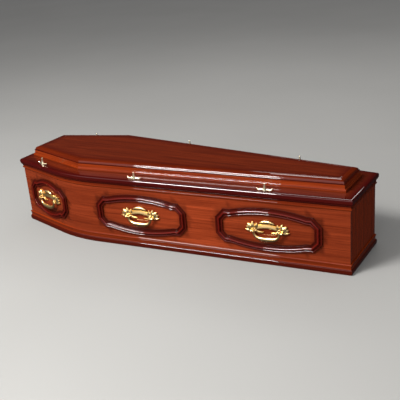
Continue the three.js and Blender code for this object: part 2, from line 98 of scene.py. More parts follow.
class Slot(Enum):
    """The record's material slots."""

    SIDE = "polished_side"
    END = "polished_end"
    LID = "polished_lid"
    MOULDING = "dark_mouldings"
    BARE = "bare_board"
    HANDLE = "brass_handles"
    SCREW = "brass_screws"


def linear(hex_colour: str) -> tuple[float, float, float, float]:
    """Turns an sRGB hex colour to linear red, green, blue and alpha.

    Args:
        hex_colour: six hex digits after a hash.

    Returns:
        The linear colour with an alpha of 1.
    """
    shares = [int(hex_colour[i : i + 2], 16) / 255 for i in (1, 3, 5)]
    red, green, blue = (s / 12.92 if s <= 0.04045 else ((s + 0.055) / 1.055) ** 2.4 for s in shares)
    return red, green, blue, 1.0


def add_node(
    tree: bpy.types.NodeTree, kind: str, inputs: dict[str | int, object] | None = None, **settings: object
) -> bpy.types.Node:
    """Adds a node with its settings, and fills or links its inputs.

    Args:
        tree: the node tree that gets the node.
        kind: the node's type name.
        inputs: socket name or number to a value, or to the output socket that feeds it.
        settings: the node's own properties.

    Returns:
        The new node.
    """
    node = tree.nodes.new(kind)
    for key, value in settings.items():
        setattr(node, key, value)
    for key, value in (inputs or {}).items():
        if isinstance(value, Socket):
            tree.links.new(value, node.inputs[key])
        else:
            node.inputs[key].default_value = value
    return node


class Finish:
    """A surface finish that makes its material once."""

    made: dict[str, bpy.types.Material] = {}
    name: str

    def material(self) -> bpy.types.Material:
        """Makes the finish's material on first use, and gives the same one after that.

        Returns:
            The material.
        """
        if self.name not in Finish.made:
            material = bpy.data.materials.new(self.name)
            material.use_nodes = True
            material.node_tree.nodes.clear()
            shader = self.shade(material.node_tree)
            add_node(material.node_tree, "ShaderNodeOutputMaterial", {"Surface": shader})
            Finish.made[self.name] = material
        return Finish.made[self.name]

    def shade(self, tree: bpy.types.NodeTree) -> Socket:
        """Builds the finish's nodes and returns the shader's output.

        Args:
            tree: the material's empty node tree.

        Returns:
            The shader socket.
        """
        raise NotImplementedError


@dataclass(frozen=True)
class LacqueredMahogany(Finish):
    """Mahogany veneer and mouldings, stained, darkened along the edges by spray and painted shade, and
    lacquered to a high gloss.

    The eye gets long ribbons of lighter and darker brown, fine dark pore strokes along the grain, a dark
    red that deepens where the mask of edge spray and painted shade rises, which is partly sprayed edge stain
    and partly painted shade, and a clear mirror-like coat over it all.
    """

    name: str
    deep: str
    light: str
    # The pores' colour, and the colour that the edge spray and painted shade go to
    edge: str
    ribbon_width: float = 22.0
    ribbon_length: float = 900.0
    figure_width: float = 6.0
    # Real pores are 0.2 mm wide, too fine to show, so they are drawn this wide and long.
    pore_width: float = 1.6
    pore_length: float = 38.0
    pore_depth: float = 0.36
    # Parts of the noise's range over which the brown goes from deep to light, and a pore from none to full
    tone_range: Pair = (0.75, 1.25)
    pore_range: Pair = (0.60, 0.72)
    # The strength of the edge spray and painted shade over the darkest ribbon, and how much more it takes over
    # the lightest
    spray_and_shade_least: float = 0.7
    spray_and_shade_more: float = 0.6
    body_roughness: Pair = (0.30, 0.42)
    lacquer_ior: float = 1.5
    coat: float = 1.0
    coat_roughness: float = 0.035
    ripple_size: float = 60.0
    ripple_strength: float = 0.02
    ripple_height: float = 10.0

    def shade(self, tree: bpy.types.NodeTree) -> Socket:
        """Builds the wood, its edge spray and its lacquer.

        Args:
            tree: the material's empty node tree.

        Returns:
            The shader socket.
        """
        place = add_node(tree, "ShaderNodeAttribute", attribute_name=GRAIN).outputs["Vector"]
        # The mask of edge spray and painted shade: partly a sprayed edge stain, partly painted shade
        spray = add_node(tree, "ShaderNodeAttribute", attribute_name=SPRAY_AND_SHADE).outputs["Fac"]

        def streaks(length: float, width: float, detail: float, distortion: float) -> Socket:
            """Noise drawn out along the grain.

            Args:
                length: of one streak, in millimetres.
                width: of one streak, in millimetres.
                detail: the noise's detail.
                distortion: how far the streaks waver.

            Returns:
                The noise's socket.
            """
            per_metre = (1 / (length * MM), 1 / (width * MM), 1 / (width * MM))
            stretched = add_node(tree, "ShaderNodeVectorMath", {0: place, 1: per_metre}, operation="MULTIPLY")
            noise = {"Vector": stretched.outputs[0], "Scale": 1.0, "Detail": detail, "Distortion": distortion}
            return add_node(tree, "ShaderNodeTexNoise", noise).outputs["Fac"]

        ribbon = streaks(self.ribbon_length, self.ribbon_width, 3.0, 0.4)
        figure = streaks(self.ribbon_length / 3, self.figure_width, 4.0, 0.8)
        pores = streaks(self.pore_length, self.pore_width, 1.0, 0.0)
        tone = add_node(tree, "ShaderNodeMath", {0: ribbon, 1: figure}, operation="ADD")
        tone = add_node(tree, "ShaderNodeMapRange", {
            "Value": tone.outputs[0], "From Min": self.tone_range[0], "From Max": self.tone_range[1],
        })
        wood = add_node(tree, "ShaderNodeMix", {
            0: tone.outputs[0], 6: linear(self.deep), 7: linear(self.light),
        }, data_type="RGBA")
        pore = add_node(tree, "ShaderNodeMapRange", {
            "Value": pores, "From Min": self.pore_range[0], "From Max": self.pore_range[1],
            "To Max": self.pore_depth,
        })
        wood = add_node(tree, "ShaderNodeMix", {
            0: pore.outputs[0], 6: wood.outputs[2], 7: linear(self.edge),
        }, data_type="RGBA")
        uneven = add_node(tree, "ShaderNodeMath", {0: ribbon, 1: self.spray_and_shade_more, 2: self.spray_and_shade_least},
                          operation="MULTIPLY_ADD")
        shade = add_node(tree, "ShaderNodeMath", {0: spray, 1: uneven.outputs[0]}, operation="MULTIPLY",
                         use_clamp=True)
        colour = add_node(tree, "ShaderNodeMix", {
            0: shade.outputs[0], 6: wood.outputs[2], 7: linear(self.edge),
        }, data_type="RGBA")
        ripple = add_node(tree, "ShaderNodeTexNoise", {
            "Vector": place, "Scale": 1 / (self.ripple_size * MM), "Detail": 1.0,
        })
        bump = add_node(tree, "ShaderNodeBump", {
            "Height": ripple.outputs["Fac"], "Strength": self.ripple_strength,
            "Distance": self.ripple_height * MM,
        })
        gloss = add_node(tree, "ShaderNodeMapRange", {
            "Value": figure, "To Min": self.body_roughness[0], "To Max": self.body_roughness[1],
        })
        return add_node(tree, "ShaderNodeBsdfPrincipled", {
            "Base Color": colour.outputs[2], "Roughness": gloss.outputs[0], "IOR": self.lacquer_ior,
            "Specular IOR Level": 0.0, "Coat Weight": self.coat, "Coat Roughness": self.coat_roughness,
            "Coat IOR": self.lacquer_ior, "Coat Normal": bump.outputs[0],
        }).outputs[0]


@dataclass(frozen=True)
class BareBoard(Finish):
    """Unfinished softwood board: pale matt brown with soft lengthwise growth rings."""

    name: str = "bare_softwood_board"
    deep: str = "#8a6543"
    light: str = "#b08d66"
    ring_width: float = 14.0
    ring_length: float = 700.0
    ring_relief: float = 1.0
    ring_strength: float = 0.2
    roughness: float = 0.8

    def shade(self, tree: bpy.types.NodeTree) -> Socket:
        """Builds the board's nodes.

        Args:
            tree: the material's empty node tree.

        Returns:
            The shader socket.
        """
        place = add_node(tree, "ShaderNodeTexCoord").outputs["Object"]
        per_metre = (1 / (self.ring_length * MM), 1 / (self.ring_width * MM), 1 / (self.ring_width * MM))
        stretched = add_node(tree, "ShaderNodeVectorMath", {0: place, 1: per_metre}, operation="MULTIPLY")
        rings = add_node(tree, "ShaderNodeTexNoise", {
            "Vector": stretched.outputs[0], "Scale": 1.0, "Detail": 5.0,
        }).outputs["Fac"]
        colour = add_node(tree, "ShaderNodeMix", {0: rings, 6: linear(self.deep), 7: linear(self.light)},
                          data_type="RGBA")
        bump = add_node(tree, "ShaderNodeBump", {
            "Height": rings, "Strength": self.ring_strength, "Distance": self.ring_relief * MM,
        })
        return add_node(tree, "ShaderNodeBsdfPrincipled", {
            "Base Color": colour.outputs[2], "Roughness": self.roughness, "Normal": bump.outputs[0],
        }).outputs[0]


@dataclass(frozen=True)
class PolishedBrass(Finish):
    """Cast brass, buffed bright on what stands proud and left duller in the hollows, under clear lacquer."""

    name: str
    bright: str
    hollow: str
    roughness: float = 0.34
    # The buffing leaves the roughness uneven by up to this share
    uneven: float = 0.3
    # Depth of the casting over which the polish goes from hollow to proud
    relief_low: float = 3.0
    relief_high: float = 9.0
    mottle_size: float = 5.0
    mottle_height: float = 1.0
    mottle_strength: float = 0.08

    def shade(self, tree: bpy.types.NodeTree) -> Socket:
        """Builds the metal's nodes.

        Args:
            tree: the material's empty node tree.

        Returns:
            The shader socket.
        """
        relief = add_node(tree, "ShaderNodeAttribute", attribute_name=RELIEF).outputs["Fac"]
        proud = add_node(tree, "ShaderNodeMapRange", {
            "Value": relief, "From Min": self.relief_low * MM, "From Max": self.relief_high * MM,
        })
        place = add_node(tree, "ShaderNodeTexCoord").outputs["Object"]
        mottle = add_node(tree, "ShaderNodeTexNoise", {
            "Vector": place, "Scale": 1 / (self.mottle_size * MM), "Detail": 2.0,
        }).outputs["Fac"]
        colour = add_node(tree, "ShaderNodeMix", {
            0: proud.outputs[0], 6: linear(self.hollow), 7: linear(self.bright),
        }, data_type="RGBA")
        dull = add_node(tree, "ShaderNodeMapRange", {
            "Value": mottle, "To Min": self.roughness * (1 - self.uneven),
            "To Max": self.roughness * (1 + self.uneven),
        })
        bump = add_node(tree, "ShaderNodeBump", {
            "Height": mottle, "Strength": self.mottle_strength, "Distance": self.mottle_height * MM,
        })
        return add_node(tree, "ShaderNodeBsdfPrincipled", {
            "Base Color": colour.outputs[2], "Metallic": 1.0, "Roughness": dull.outputs[0],
            "Normal": bump.outputs[0],
        }).outputs[0]


@dataclass(frozen=True)
class PaleFloor(Finish):
    """Plain matt studio floor paint, with only a faint unevenness."""

    name: str = "pale_studio_floor"
    dark: str = "#72716e"
    light: str = "#797875"
    patch_size: float = 1428.6
    roughness: float = 0.9
    specular: float = 0.1

    def shade(self, tree: bpy.types.NodeTree) -> Socket:
        """Builds the floor's nodes.

        Args:
            tree: the material's empty node tree.

        Returns:
            The shader socket.
        """
        place = add_node(tree, "ShaderNodeTexCoord").outputs["Object"]
        patches = add_node(tree, "ShaderNodeTexNoise", {
            "Vector": place, "Scale": 1 / (self.patch_size * MM), "Detail": 2.0,
        }).outputs["Fac"]
        colour = add_node(tree, "ShaderNodeMix", {0: patches, 6: linear(self.dark), 7: linear(self.light)},
                          data_type="RGBA")
        return add_node(tree, "ShaderNodeBsdfPrincipled", {
            "Base Color": colour.outputs[2], "Roughness": self.roughness, "Specular IOR Level": self.specular,
        }).outputs[0]


# Side veneer: warm mid brown with fine figure
SIDE_WOOD = LacqueredMahogany(
    "lacquered_mahogany_side_veneer", deep="#501a09", light="#742d15", edge="#1c0402"
)
# End veneer: the side's stain painted darker as shade, under a thinner coat, so it mirrors less
SHADED_END_WOOD = LacqueredMahogany(
    "lacquered_mahogany_end_veneer_painted_shade", deep="#501906", light="#66220a", edge="#180402", coat=0.5
)
# Lid veneer: darker, partly its own stain and partly painted shade on the top, with broad soft figure
LID_WOOD_AND_SHADE = LacqueredMahogany(
    "lacquered_mahogany_lid_veneer_and_painted_shade", deep="#3a1107", light="#4f1a0a", edge="#2c0504", figure_width=16.0
)
# Solid mouldings: a redder stain with the narrow streaks of planed wood
MOULDING_WOOD = LacqueredMahogany(
    "dark_stained_mahogany_moulding", deep="#4a1505", light="#6a2509", edge="#240303", ribbon_width=8.0,
    figure_width=4.0,
)
# Panel frames: the reddest stain, with the darkest edge colour for their spray and painted shade, which sets
# them off from the sides
FRAME_WOOD = LacqueredMahogany(
    "dark_stained_mahogany_panel_frame", deep="#520b07", light="#6c120b", edge="#1b0703", ribbon_width=8.0,
    figure_width=4.0,
)
BARE_BOARD = BareBoard()
HANDLE_BRASS = PolishedBrass("polished_cast_brass_handle", bright="#f9d594", hollow="#c08a3a")
SCREW_BRASS = PolishedBrass("polished_pale_brass_screw", bright="#fbeecb", hollow="#e6d3a2")
FLOOR_PAINT = PaleFloor()


@dataclass
class Surface:
    """A piece's points in millimetres, its faces, and each point's grain place, and its edge spray and painted
    shade.
    """

    points: list[Point] = field(default_factory=list)
    faces: list[tuple[int, ...]] = field(default_factory=list)
    grain: list[Point] = field(default_factory=list)
    spray: list[float] = field(default_factory=list)

    def add_point(
        self, point: Sequence[float], grain: Sequence[float] = (0, 0, 0), spray: float = 0.0
    ) -> None:
        """Adds one point.

        Args:
            point: where it is.
            grain: its place in the wood, with the grain along the first of its three axes.
            spray: how dark the edge spray and painted shade are on it, from 0 to 1.
        """
        self.points.append(tuple(point))
        self.grain.append(tuple(grain))
        self.spray.append(spray)

    def join_rings(self, first: int, second: int, count: int, closed: bool = True) -> None:
        """Joins two rings of points with four-sided faces.

        Args:
            first: the index of the first ring's first point.
            second: the index of the second ring's first point.
            count: how many points each ring has.
            closed: whether the last point joins the first.
        """
        for i in range(count if closed else count - 1):
            j = (i + 1) % count
            self.faces.append((first + i, first + j, second + j, second + i))

    def append(self, other: "Surface") -> None:
        """Adds another surface's points and faces to this one.

        Args:
            other: the surface that is added.
        """
        start = len(self.points)
        self.points += other.points
        self.grain += other.grain
        self.spray += other.spray
        self.faces += [tuple(start + i for i in face) for face in other.faces]

    def moved(self, place: Callable[[Point], Sequence[float]], turn: bool = False) -> "Surface":
        """A copy with each point sent through a function.

        Args:
            place: gives the new point for a point.
            turn: whether the faces are turned over, as a mirror needs.

        Returns:
            The copy.
        """
        faces = [face[::-1] for face in self.faces] if turn else list(self.faces)
        return Surface([tuple(place(p)) for p in self.points], faces, list(self.grain), list(self.spray))

    def mirrored(self, side: Side) -> "Surface":
        """The surface for one of the two long sides, where this one is the right side's.

        Args:
            side: which side.

        Returns:
            The surface itself, or its mirror image across the length.
        """
        if side is Side.RIGHT:
            return self
        return self.moved(lambda p: (p[0], -p[1], p[2]), turn=True)

    def mesh(self, name: str, sharp_angle: float) -> bpy.types.Mesh:
        """Makes the mesh in metres, smooth but for edges sharper than an angle.

        Args:
            name: the mesh's name.
            sharp_angle: in degrees.

        Returns:
            The mesh.
        """
        mesh = bpy.data.meshes.new(name)
        mesh.from_pydata([tuple(c * MM for c in p) for p in self.points], [], self.faces)
        grain = mesh.attributes.new(GRAIN, "FLOAT_VECTOR", "POINT")
        grain.data.foreach_set("vector", np.array(self.grain, np.float32).ravel() * MM)
        spray = mesh.attributes.new(SPRAY_AND_SHADE, "FLOAT", "POINT")
        spray.data.foreach_set("value", np.array(self.spray, np.float32))
        mesh.shade_smooth()
        mesh.set_sharp_from_angle(angle=math.radians(sharp_angle))
        mesh.validate()
        return mesh


def add_piece(
    name: str, mesh: bpy.types.Mesh, finish: Finish, node: str, body: str = "coffin"
) -> bpy.types.Object:
    """Makes a piece that stands for a node, dresses it and fastens it to its body.

    Args:
        name: the piece's name.
        mesh: its mesh, in place, in metres.
        finish: its finish.
        node: the node that it replaces.
        body: the body that it moves with.

    Returns:
        The piece.
    """
    piece = bpy.data.objects.new(name, mesh)
    bpy.context.scene.collection.objects.link(piece)
    mesh.materials.clear()
    mesh.materials.append(finish.material())
    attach(piece, body)
    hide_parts(node)
    LOG.info("%s: %d faces", name, len(mesh.polygons))
    return piece


def unit(vector: Sequence[float]) -> np.ndarray:
    """The vector at a length of 1."""
    array = np.asarray(vector, float)
    return array / np.linalg.norm(array)


def outward(start: Sequence[float], end: Sequence[float]) -> np.ndarray:
    """The unit normal on the right hand of the way from start to end."""
    along = unit(np.subtract(end, start))
    return np.array([along[1], -along[0]])


def mitre(before: np.ndarray, after: np.ndarray) -> np.ndarray:
    """The step from a corner to the same corner of an outline that lies 1 mm further out."""
    return (before + after) / (1 + float(before @ after))


def stepped(place: float, steps: Sequence[Pair]) -> float:
    """The shade of the first step, as its end and its shade, that ends beyond a place."""
    return next(shade for end, shade in steps if place < end)


def spline(
    points: Sequence[Sequence[float]], corners: Iterable[int] = (), steps: int = 5
) -> list[np.ndarray]:
    """A smooth line through points, broken at corners.

    Args:
        points: the points that it runs through.
        corners: indices of the points where it turns sharply.
        steps: how many pieces each span is cut into.

    Returns:
        The line's points, the given ones among them.
    """
    given = [np.asarray(p, float) for p in points]
    sharp = {0, len(given) - 1, *corners}
    line = [given[0]]
    for i in range(len(given) - 1):
        start, end = given[i], given[i + 1]
        reach = np.linalg.norm(end - start)
        before = start if i in sharp else given[i - 1]
        after = end if i + 1 in sharp else given[i + 2]
        if i in sharp and i + 1 in sharp:
            line.append(end)
            continue
        leave = (end - before) / max(np.linalg.norm(end - before), 1e-9) * reach
        arrive = (after - start) / max(np.linalg.norm(after - start), 1e-9) * reach
        for k in range(1, steps + 1):
            t = k / steps
            a, b = 2 * t**3 - 3 * t**2 + 1, t**3 - 2 * t**2 + t
            c, d = 3 * t**2 - 2 * t**3, t**3 - t**2
            line.append(a * start + b * leave + c * end + d * arrive)
    return line


@dataclass(frozen=True)
class Station:
    """A place along a face of the body: a point, the way out from it, and the distance travelled to it."""

    point: np.ndarray
    out: np.ndarray
    along: float


@dataclass(frozen=True)
class Plan:
    """The coffin's plan over its boards: straight ends, and sides that bend round the shoulders."""

    length: float
    head_width: float = 380.0
    shoulder_width: float = 620.0
    foot_width: float = 342.0
    shoulder_from_head: float = 434.0
    bend_radius: float = 750.0
    bend_steps: int = 24

    @property
    def head(self) -> np.ndarray:
        """The right corner at the head."""
        return np.array([-self.length / 2, -self.head_width / 2])

    @property
    def shoulder(self) -> np.ndarray:
        """The point where the right side's two straight stretches would meet."""
        return np.array([self.shoulder_from_head - self.length / 2, -self.shoulder_width / 2])

    @property
    def foot(self) -> np.ndarray:
        """The right corner at the foot."""
        return np.array([self.length / 2, -self.foot_width / 2])

    @property
    def head_normal(self) -> np.ndarray:
        """The way out from the right side's head stretch."""
        return outward(self.head, self.shoulder)

    @property
    def foot_normal(self) -> np.ndarray:
        """The way out from the right side's foot stretch."""
        return outward(self.shoulder, self.foot)

    def bend(self) -> list[tuple[np.ndarray, np.ndarray]]:
        """Rounds the right shoulder off to the bend's radius.

        Returns:
            Points round the shoulder, each with its normal.
        """
        centre = self.shoulder - mitre(self.head_normal, self.foot_normal) * self.bend_radius
        start = math.atan2(self.head_normal[1], self.head_normal[0])
        end = math.atan2(self.foot_normal[1], self.foot_normal[0])
        angles = np.linspace(start, end, self.bend_steps + 1)
        outs = [np.array([math.cos(a), math.sin(a)]) for a in angles]
        return [(centre + out * self.bend_radius, out) for out in outs]

    def right_side(self, head_out: np.ndarray, foot_out: np.ndarray, step: float = 0.0) -> list[Station]:
        """Stations along the right side, from head to foot.

        Args:
            head_out: the way out at the head corner, which sets how the end is cut.
            foot_out: the same at the foot corner.
            step: the longest distance between stations on the straight stretches, or 0 for no limit.

        Returns:
            The stations.
        """
        bend = self.bend()
        marks = [(self.head, head_out)]
        marks += self._between(self.head, bend[0][0], self.head_normal, step)
        marks += bend
        marks += self._between(bend[-1][0], self.foot, self.foot_normal, step)
        marks.append((self.foot, foot_out))
        return self.measured(marks)

    @staticmethod
    def _between(
        start: np.ndarray, end: np.ndarray, out: np.ndarray, step: float
    ) -> list[tuple[np.ndarray, np.ndarray]]:
        """Evenly spaced marks between two points, without the points themselves."""
        count = max(1, math.ceil(np.linalg.norm(end - start) / step)) if step else 1
        return [(start + (end - start) * i / count, out) for i in range(1, count)]

    @staticmethod
    def measured(marks: Sequence[tuple[np.ndarray, np.ndarray]]) -> list[Station]:
        """Turns points and ways out into stations that know how far along they are.

        Args:
            marks: the points, each with its way out.

        Returns:
            The stations.
        """
        along, stations = 0.0, []
        for i, (point, out) in enumerate(marks):
            along += float(np.linalg.norm(point - marks[i - 1][0])) if i else 0.0
            stations.append(Station(point, out, along))
        return stations

    def mitred_side(self, step: float = 0.0) -> list[Station]:
        """The right side with ends mitred to meet what runs along the head and foot.

        Args:
            step: the longest distance between stations on the straight stretches, or 0 for no limit.

        Returns:
            The stations, from head to foot.
        """
        return self.right_side(
            mitre(np.array([-1.0, 0.0]), self.head_normal), mitre(self.foot_normal, np.array([1.0, 0.0])), step
        )

    def square_side(self, step: float = 0.0) -> list[Station]:
        """The right side with ends cut square to the length.

        Args:
            step: the longest distance between stations on the straight stretches, or 0 for no limit.

        Returns:
            The stations, from head to foot.
        """
        return self.right_side(
            np.array([0.0, 1 / self.head_normal[1]]), np.array([0.0, 1 / self.foot_normal[1]]), step
        )

    def end(self, place: Place) -> list[Station]:
        """The face of an end, anticlockwise from above, mitred at both corners.

        Args:
            place: the head or the foot.

        Returns:
            The two stations.
        """
        corner, normal, out = (
            (self.head, self.head_normal, np.array([-1.0, 0.0]))
            if place is Place.HEAD
            else (self.foot, self.foot_normal, np.array([1.0, 0.0]))
        )
        near = (corner, mitre(normal, out))
        far = tuple(v * np.array([1, -1]) for v in near)
        return self.measured([near, far] if place is Place.FOOT else [far, near])

    def outline(self) -> list[Station]:
        """Goes once round the whole plan, anticlockwise from above.

        Returns:
            The ring's stations.
        """
        right = [(s.point, s.out) for s in self.mitred_side()]
        left = [(p * np.array([1, -1]), o * np.array([1, -1])) for p, o in reversed(right)]
        return self.measured(right + left)

    def place_on_side(self, distance: float, proud: float) -> tuple[float, float]:
        """A plan point by its distance from the head corner along the right side, and out from its face.

        Args:
            distance: along the face, round the bend.
            proud: out from the face.

        Returns:
            The plan point.
        """
        stations = self.right_side(self.head_normal, self.foot_normal)
        i = int(np.searchsorted([s.along for s in stations], distance)) or 1
        before, after = stations[min(i, len(stations) - 1) - 1], stations[min(i, len(stations) - 1)]
        share = (distance - before.along) / (after.along - before.along)
        out = unit(before.out + (after.out - before.out) * share)
        point = before.point + (after.point - before.point) * share + out * proud
        return float(point[0]), float(point[1])

    def from_shoulder(self, distance: float) -> float:
        """Turns a distance along the foot stretch's line into one along the face.

        Args:
            distance: from the shoulder's sharp corner towards the foot.

        Returns:
            The distance from the head corner, round the bend.
        """
        stations = self.right_side(self.head_normal, self.foot_normal)
        last = stations[-2]
        return last.along + distance - float(np.linalg.norm(self.shoulder - last.point))


def sweep(stations: Sequence[Station], profile: Sequence[Sequence[float]], spray: Sequence[float]) -> Surface:
    """Carries a closed profile along stations and closes both ends.

    Args:
        stations: where the profile stands.
        profile: points as out from the face and up.
        spray: the edge spray and painted shade of each profile point.

    Returns:
        The closed surface, with the grain running along it.
    """
    surface, count = Surface(), len(profile)
    steps = [float(np.linalg.norm(np.subtract(profile[i + 1], profile[i]))) for i in range(count - 1)]
    around = np.cumsum([0.0] + steps)
    for station in stations:
        for (out, up), distance, shade in zip(profile, around, spray):
            x, y = station.point + station.out * out
            surface.add_point((x, y, up), (station.along, distance, 0.0), shade)
    for s in range(len(stations) - 1):
        surface.join_rings(s * count, (s + 1) * count, count)
    surface.faces = [face[::-1] for face in surface.faces]
    last = (len(stations) - 1) * count
    surface.faces.append(tuple(range(count)))
    surface.faces.append(tuple(last + i for i in reversed(range(count))))
    return surface


def stack(outline: Sequence[Station], levels: Sequence[tuple[float, float, float]]) -> Surface:
    """A board built up from rings of one outline.

    Args:
        outline: the ring's stations, anticlockwise from above.
        levels: each ring's offset out, height, and edge spray and painted shade, from the underside's middle
            up and in again.

    Returns:
        The closed surface, with the grain along the length.
    """
    surface, count = Surface(), len(outline)
    for offset, height, shade in levels:
        for station in outline:
            x, y = station.point + station.out * offset
            surface.add_point((x, y, height), (x, y, height), shade)
    for level in range(len(levels) - 1):
        surface.join_rings(level * count, (level + 1) * count, count)
    top = (len(levels) - 1) * count
    surface.faces.append(tuple(reversed(range(count))))
    surface.faces.append(tuple(top + i for i in range(count)))
    return surface


@dataclass
class PanelFrames:
    """The applied frames: mitred rings of moulding with bowed long edges, bent with the side."""

    plan: Plan
    centre_height: float = 174.0
    half_lengths: dict[Place, float] = field(
        default_factory=lambda: {Place.HEAD: 167.0, Place.MIDDLE: 254.0, Place.FOOT: 258.0}
    )
    centres: dict[Place, float] = field(
        default_factory=lambda: {Place.HEAD: 221.0, Place.MIDDLE: 402.0, Place.FOOT: 1070.0}
    )
    half_height: float = 108.0
    arc_rise: float = 23.0
    stub: float = 30.0
    end_half: float = 42.0
    corner_in: float = 40.0
    width: float = 36.0
    fillet: float = 2.4
    fillet_out: float = 6.2
    fillet_round: float = 4.6
    bed_out: float = 3.4
    quirk: float = 0.4
    round: float = 4.6
    crest: float = 13.4
    bedding: float = 0.8
    # How far over the fillet's inner arris is rounded, in degrees, and how far an upright step leans
    fillet_turn: float = 60.0
    lean: float = 0.1
    fillet_steps: int = 6
    round_steps: int = 13
    arc_steps: int = 28
    spray_and_shade_reach: float = 16.0
    sharp_angle: float = 28.0

    def middle(self, place: Place) -> float:
        """The frame's middle, as a distance from the head corner along the side."""
        at = self.centres[place]
        return at if place is Place.HEAD else self.plan.from_shoulder(at)

    def outline(self, place: Place) -> list[np.ndarray]:
        """The ring's outer edge in the panel's own plane, anticlockwise.

        Args:
            place: which panel.

        Returns:
            Points along the side and up, from the frame's middle.
        """
        half = self.half_lengths[place]
        arc_half = half - self.corner_in - self.stub
        end_height = self.half_height - self.arc_rise
        radius = (arc_half**2 + self.arc_rise**2) / (2 * self.arc_rise)
        upper = [(half, self.end_half), (arc_half + self.stub, end_height)]
        for x in np.linspace(arc_half, -arc_half, self.arc_steps + 1):
            upper.append((x, self.half_height - radius + math.sqrt(radius**2 - x**2)))
        upper += [(-arc_half - self.stub, end_height), (-half, self.end_half)]
        return [np.array(p) for p in upper + [(-x, -z) for x, z in upper]]

    def section(self) -> list[tuple[float, float, float]]:
        """The moulding's section.

        A fillet runs along each edge, its inner arris rounded over, then a flat bed up to the foot of
        the round in the middle.

        Returns:
            Points as in from the outer edge, proud of the side, and the edge spray and painted shade, darkest
            in the quirks and on the fillets.
        """
        middle, shoulder = self.width / 2, self.crest - self.round
        # Edge spray and painted shade on the section: darkest in the quirks and along the fillets, where the
        # moulding lies in shade, and lightest on the round
        edge = [(0.0, self.bedding, 1.0), (0.0, self.fillet_out, 1.0)]
        for angle in np.linspace(0, math.radians(self.fillet_turn), self.fillet_steps + 1):
            inward = self.fillet + self.fillet_round * math.sin(angle)
            edge.append((inward, self.fillet_out - self.fillet_round * (1 - math.cos(angle)), 0.75))
        bed_start = inward + self.quirk / 2
        edge += [
            (bed_start - self.lean, self.bed_out - self.quirk, 1.0), (bed_start, self.bed_out, 0.8),
            (middle - self.round - self.quirk, self.bed_out, 0.8),
            (middle - self.round - self.lean, shoulder - self.quirk, 0.9),
        ]
        back = [
            (middle - self.round * math.cos(angle), shoulder + self.round * math.sin(angle), 0.6)
            for angle in np.linspace(0, math.pi, self.round_steps + 1)
        ]
        return edge + back + [(self.width - inward, proud, shade) for inward, proud, shade in reversed(edge)]

    def surface(self, place: Place) -> Surface:
        """One frame on the right side.

        Args:
            place: which panel.

        Returns:
            The frame's closed surface.
        """
        outline, section, middle = self.outline(place), self.section(), self.middle(place)
        surface, along = Surface(), 0.0
        for i, corner in enumerate(outline):
            before, after = outline[i - 1], outline[(i + 1) % len(outline)]
            along += float(np.linalg.norm(corner - before))
            out = mitre(outward(before, corner), outward(corner, after))
            for inward, proud, shade in section:
                spot = corner - out * inward
                x, y = self.plan.place_on_side(middle + spot[0], proud)
                surface.add_point((x, y, self.centre_height + spot[1]), (along, inward, 0.0), shade)
        count = len(section)
        for i in range(len(outline)):
            surface.join_rings(i * count, (i + 1) % len(outline) * count, count)
        return surface

    def distance(self, place: Place, along: float, height: float) -> float:
        """How far a spot on the side lies from a frame's moulding.

        Args:
            place: which panel.
            along: the spot's distance from the head corner along the side.
            height: its height above the floor.

        Returns:
            The distance in millimetres.
        """
        spot = np.array([along - self.middle(place), height - self.centre_height])
        nearest = math.inf
        outline = self.outline(place)
        for i, corner in enumerate(outline):
            step = corner - outline[i - 1]
            share = np.clip((spot - outline[i - 1]) @ step / (step @ step), 0, 1)
            away = spot - outline[i - 1] - step * share
            inside = float(away @ outward(outline[i - 1], corner)) < 0
            nearest = min(nearest, float(np.linalg.norm(away)) - (self.width if inside else 0.0))
        return max(0.0, nearest)

    def build(self) -> None:
        """Makes all six frames."""
        for place in Place:
            right = self.surface(place)
            for side in Side:
                name = f"panel_frame_{side.label}_{place.value}"
                mesh = right.mirrored(side).mesh(name, self.sharp_angle)
                add_piece(f"moulded_{name}", mesh, FRAME_WOOD, name)


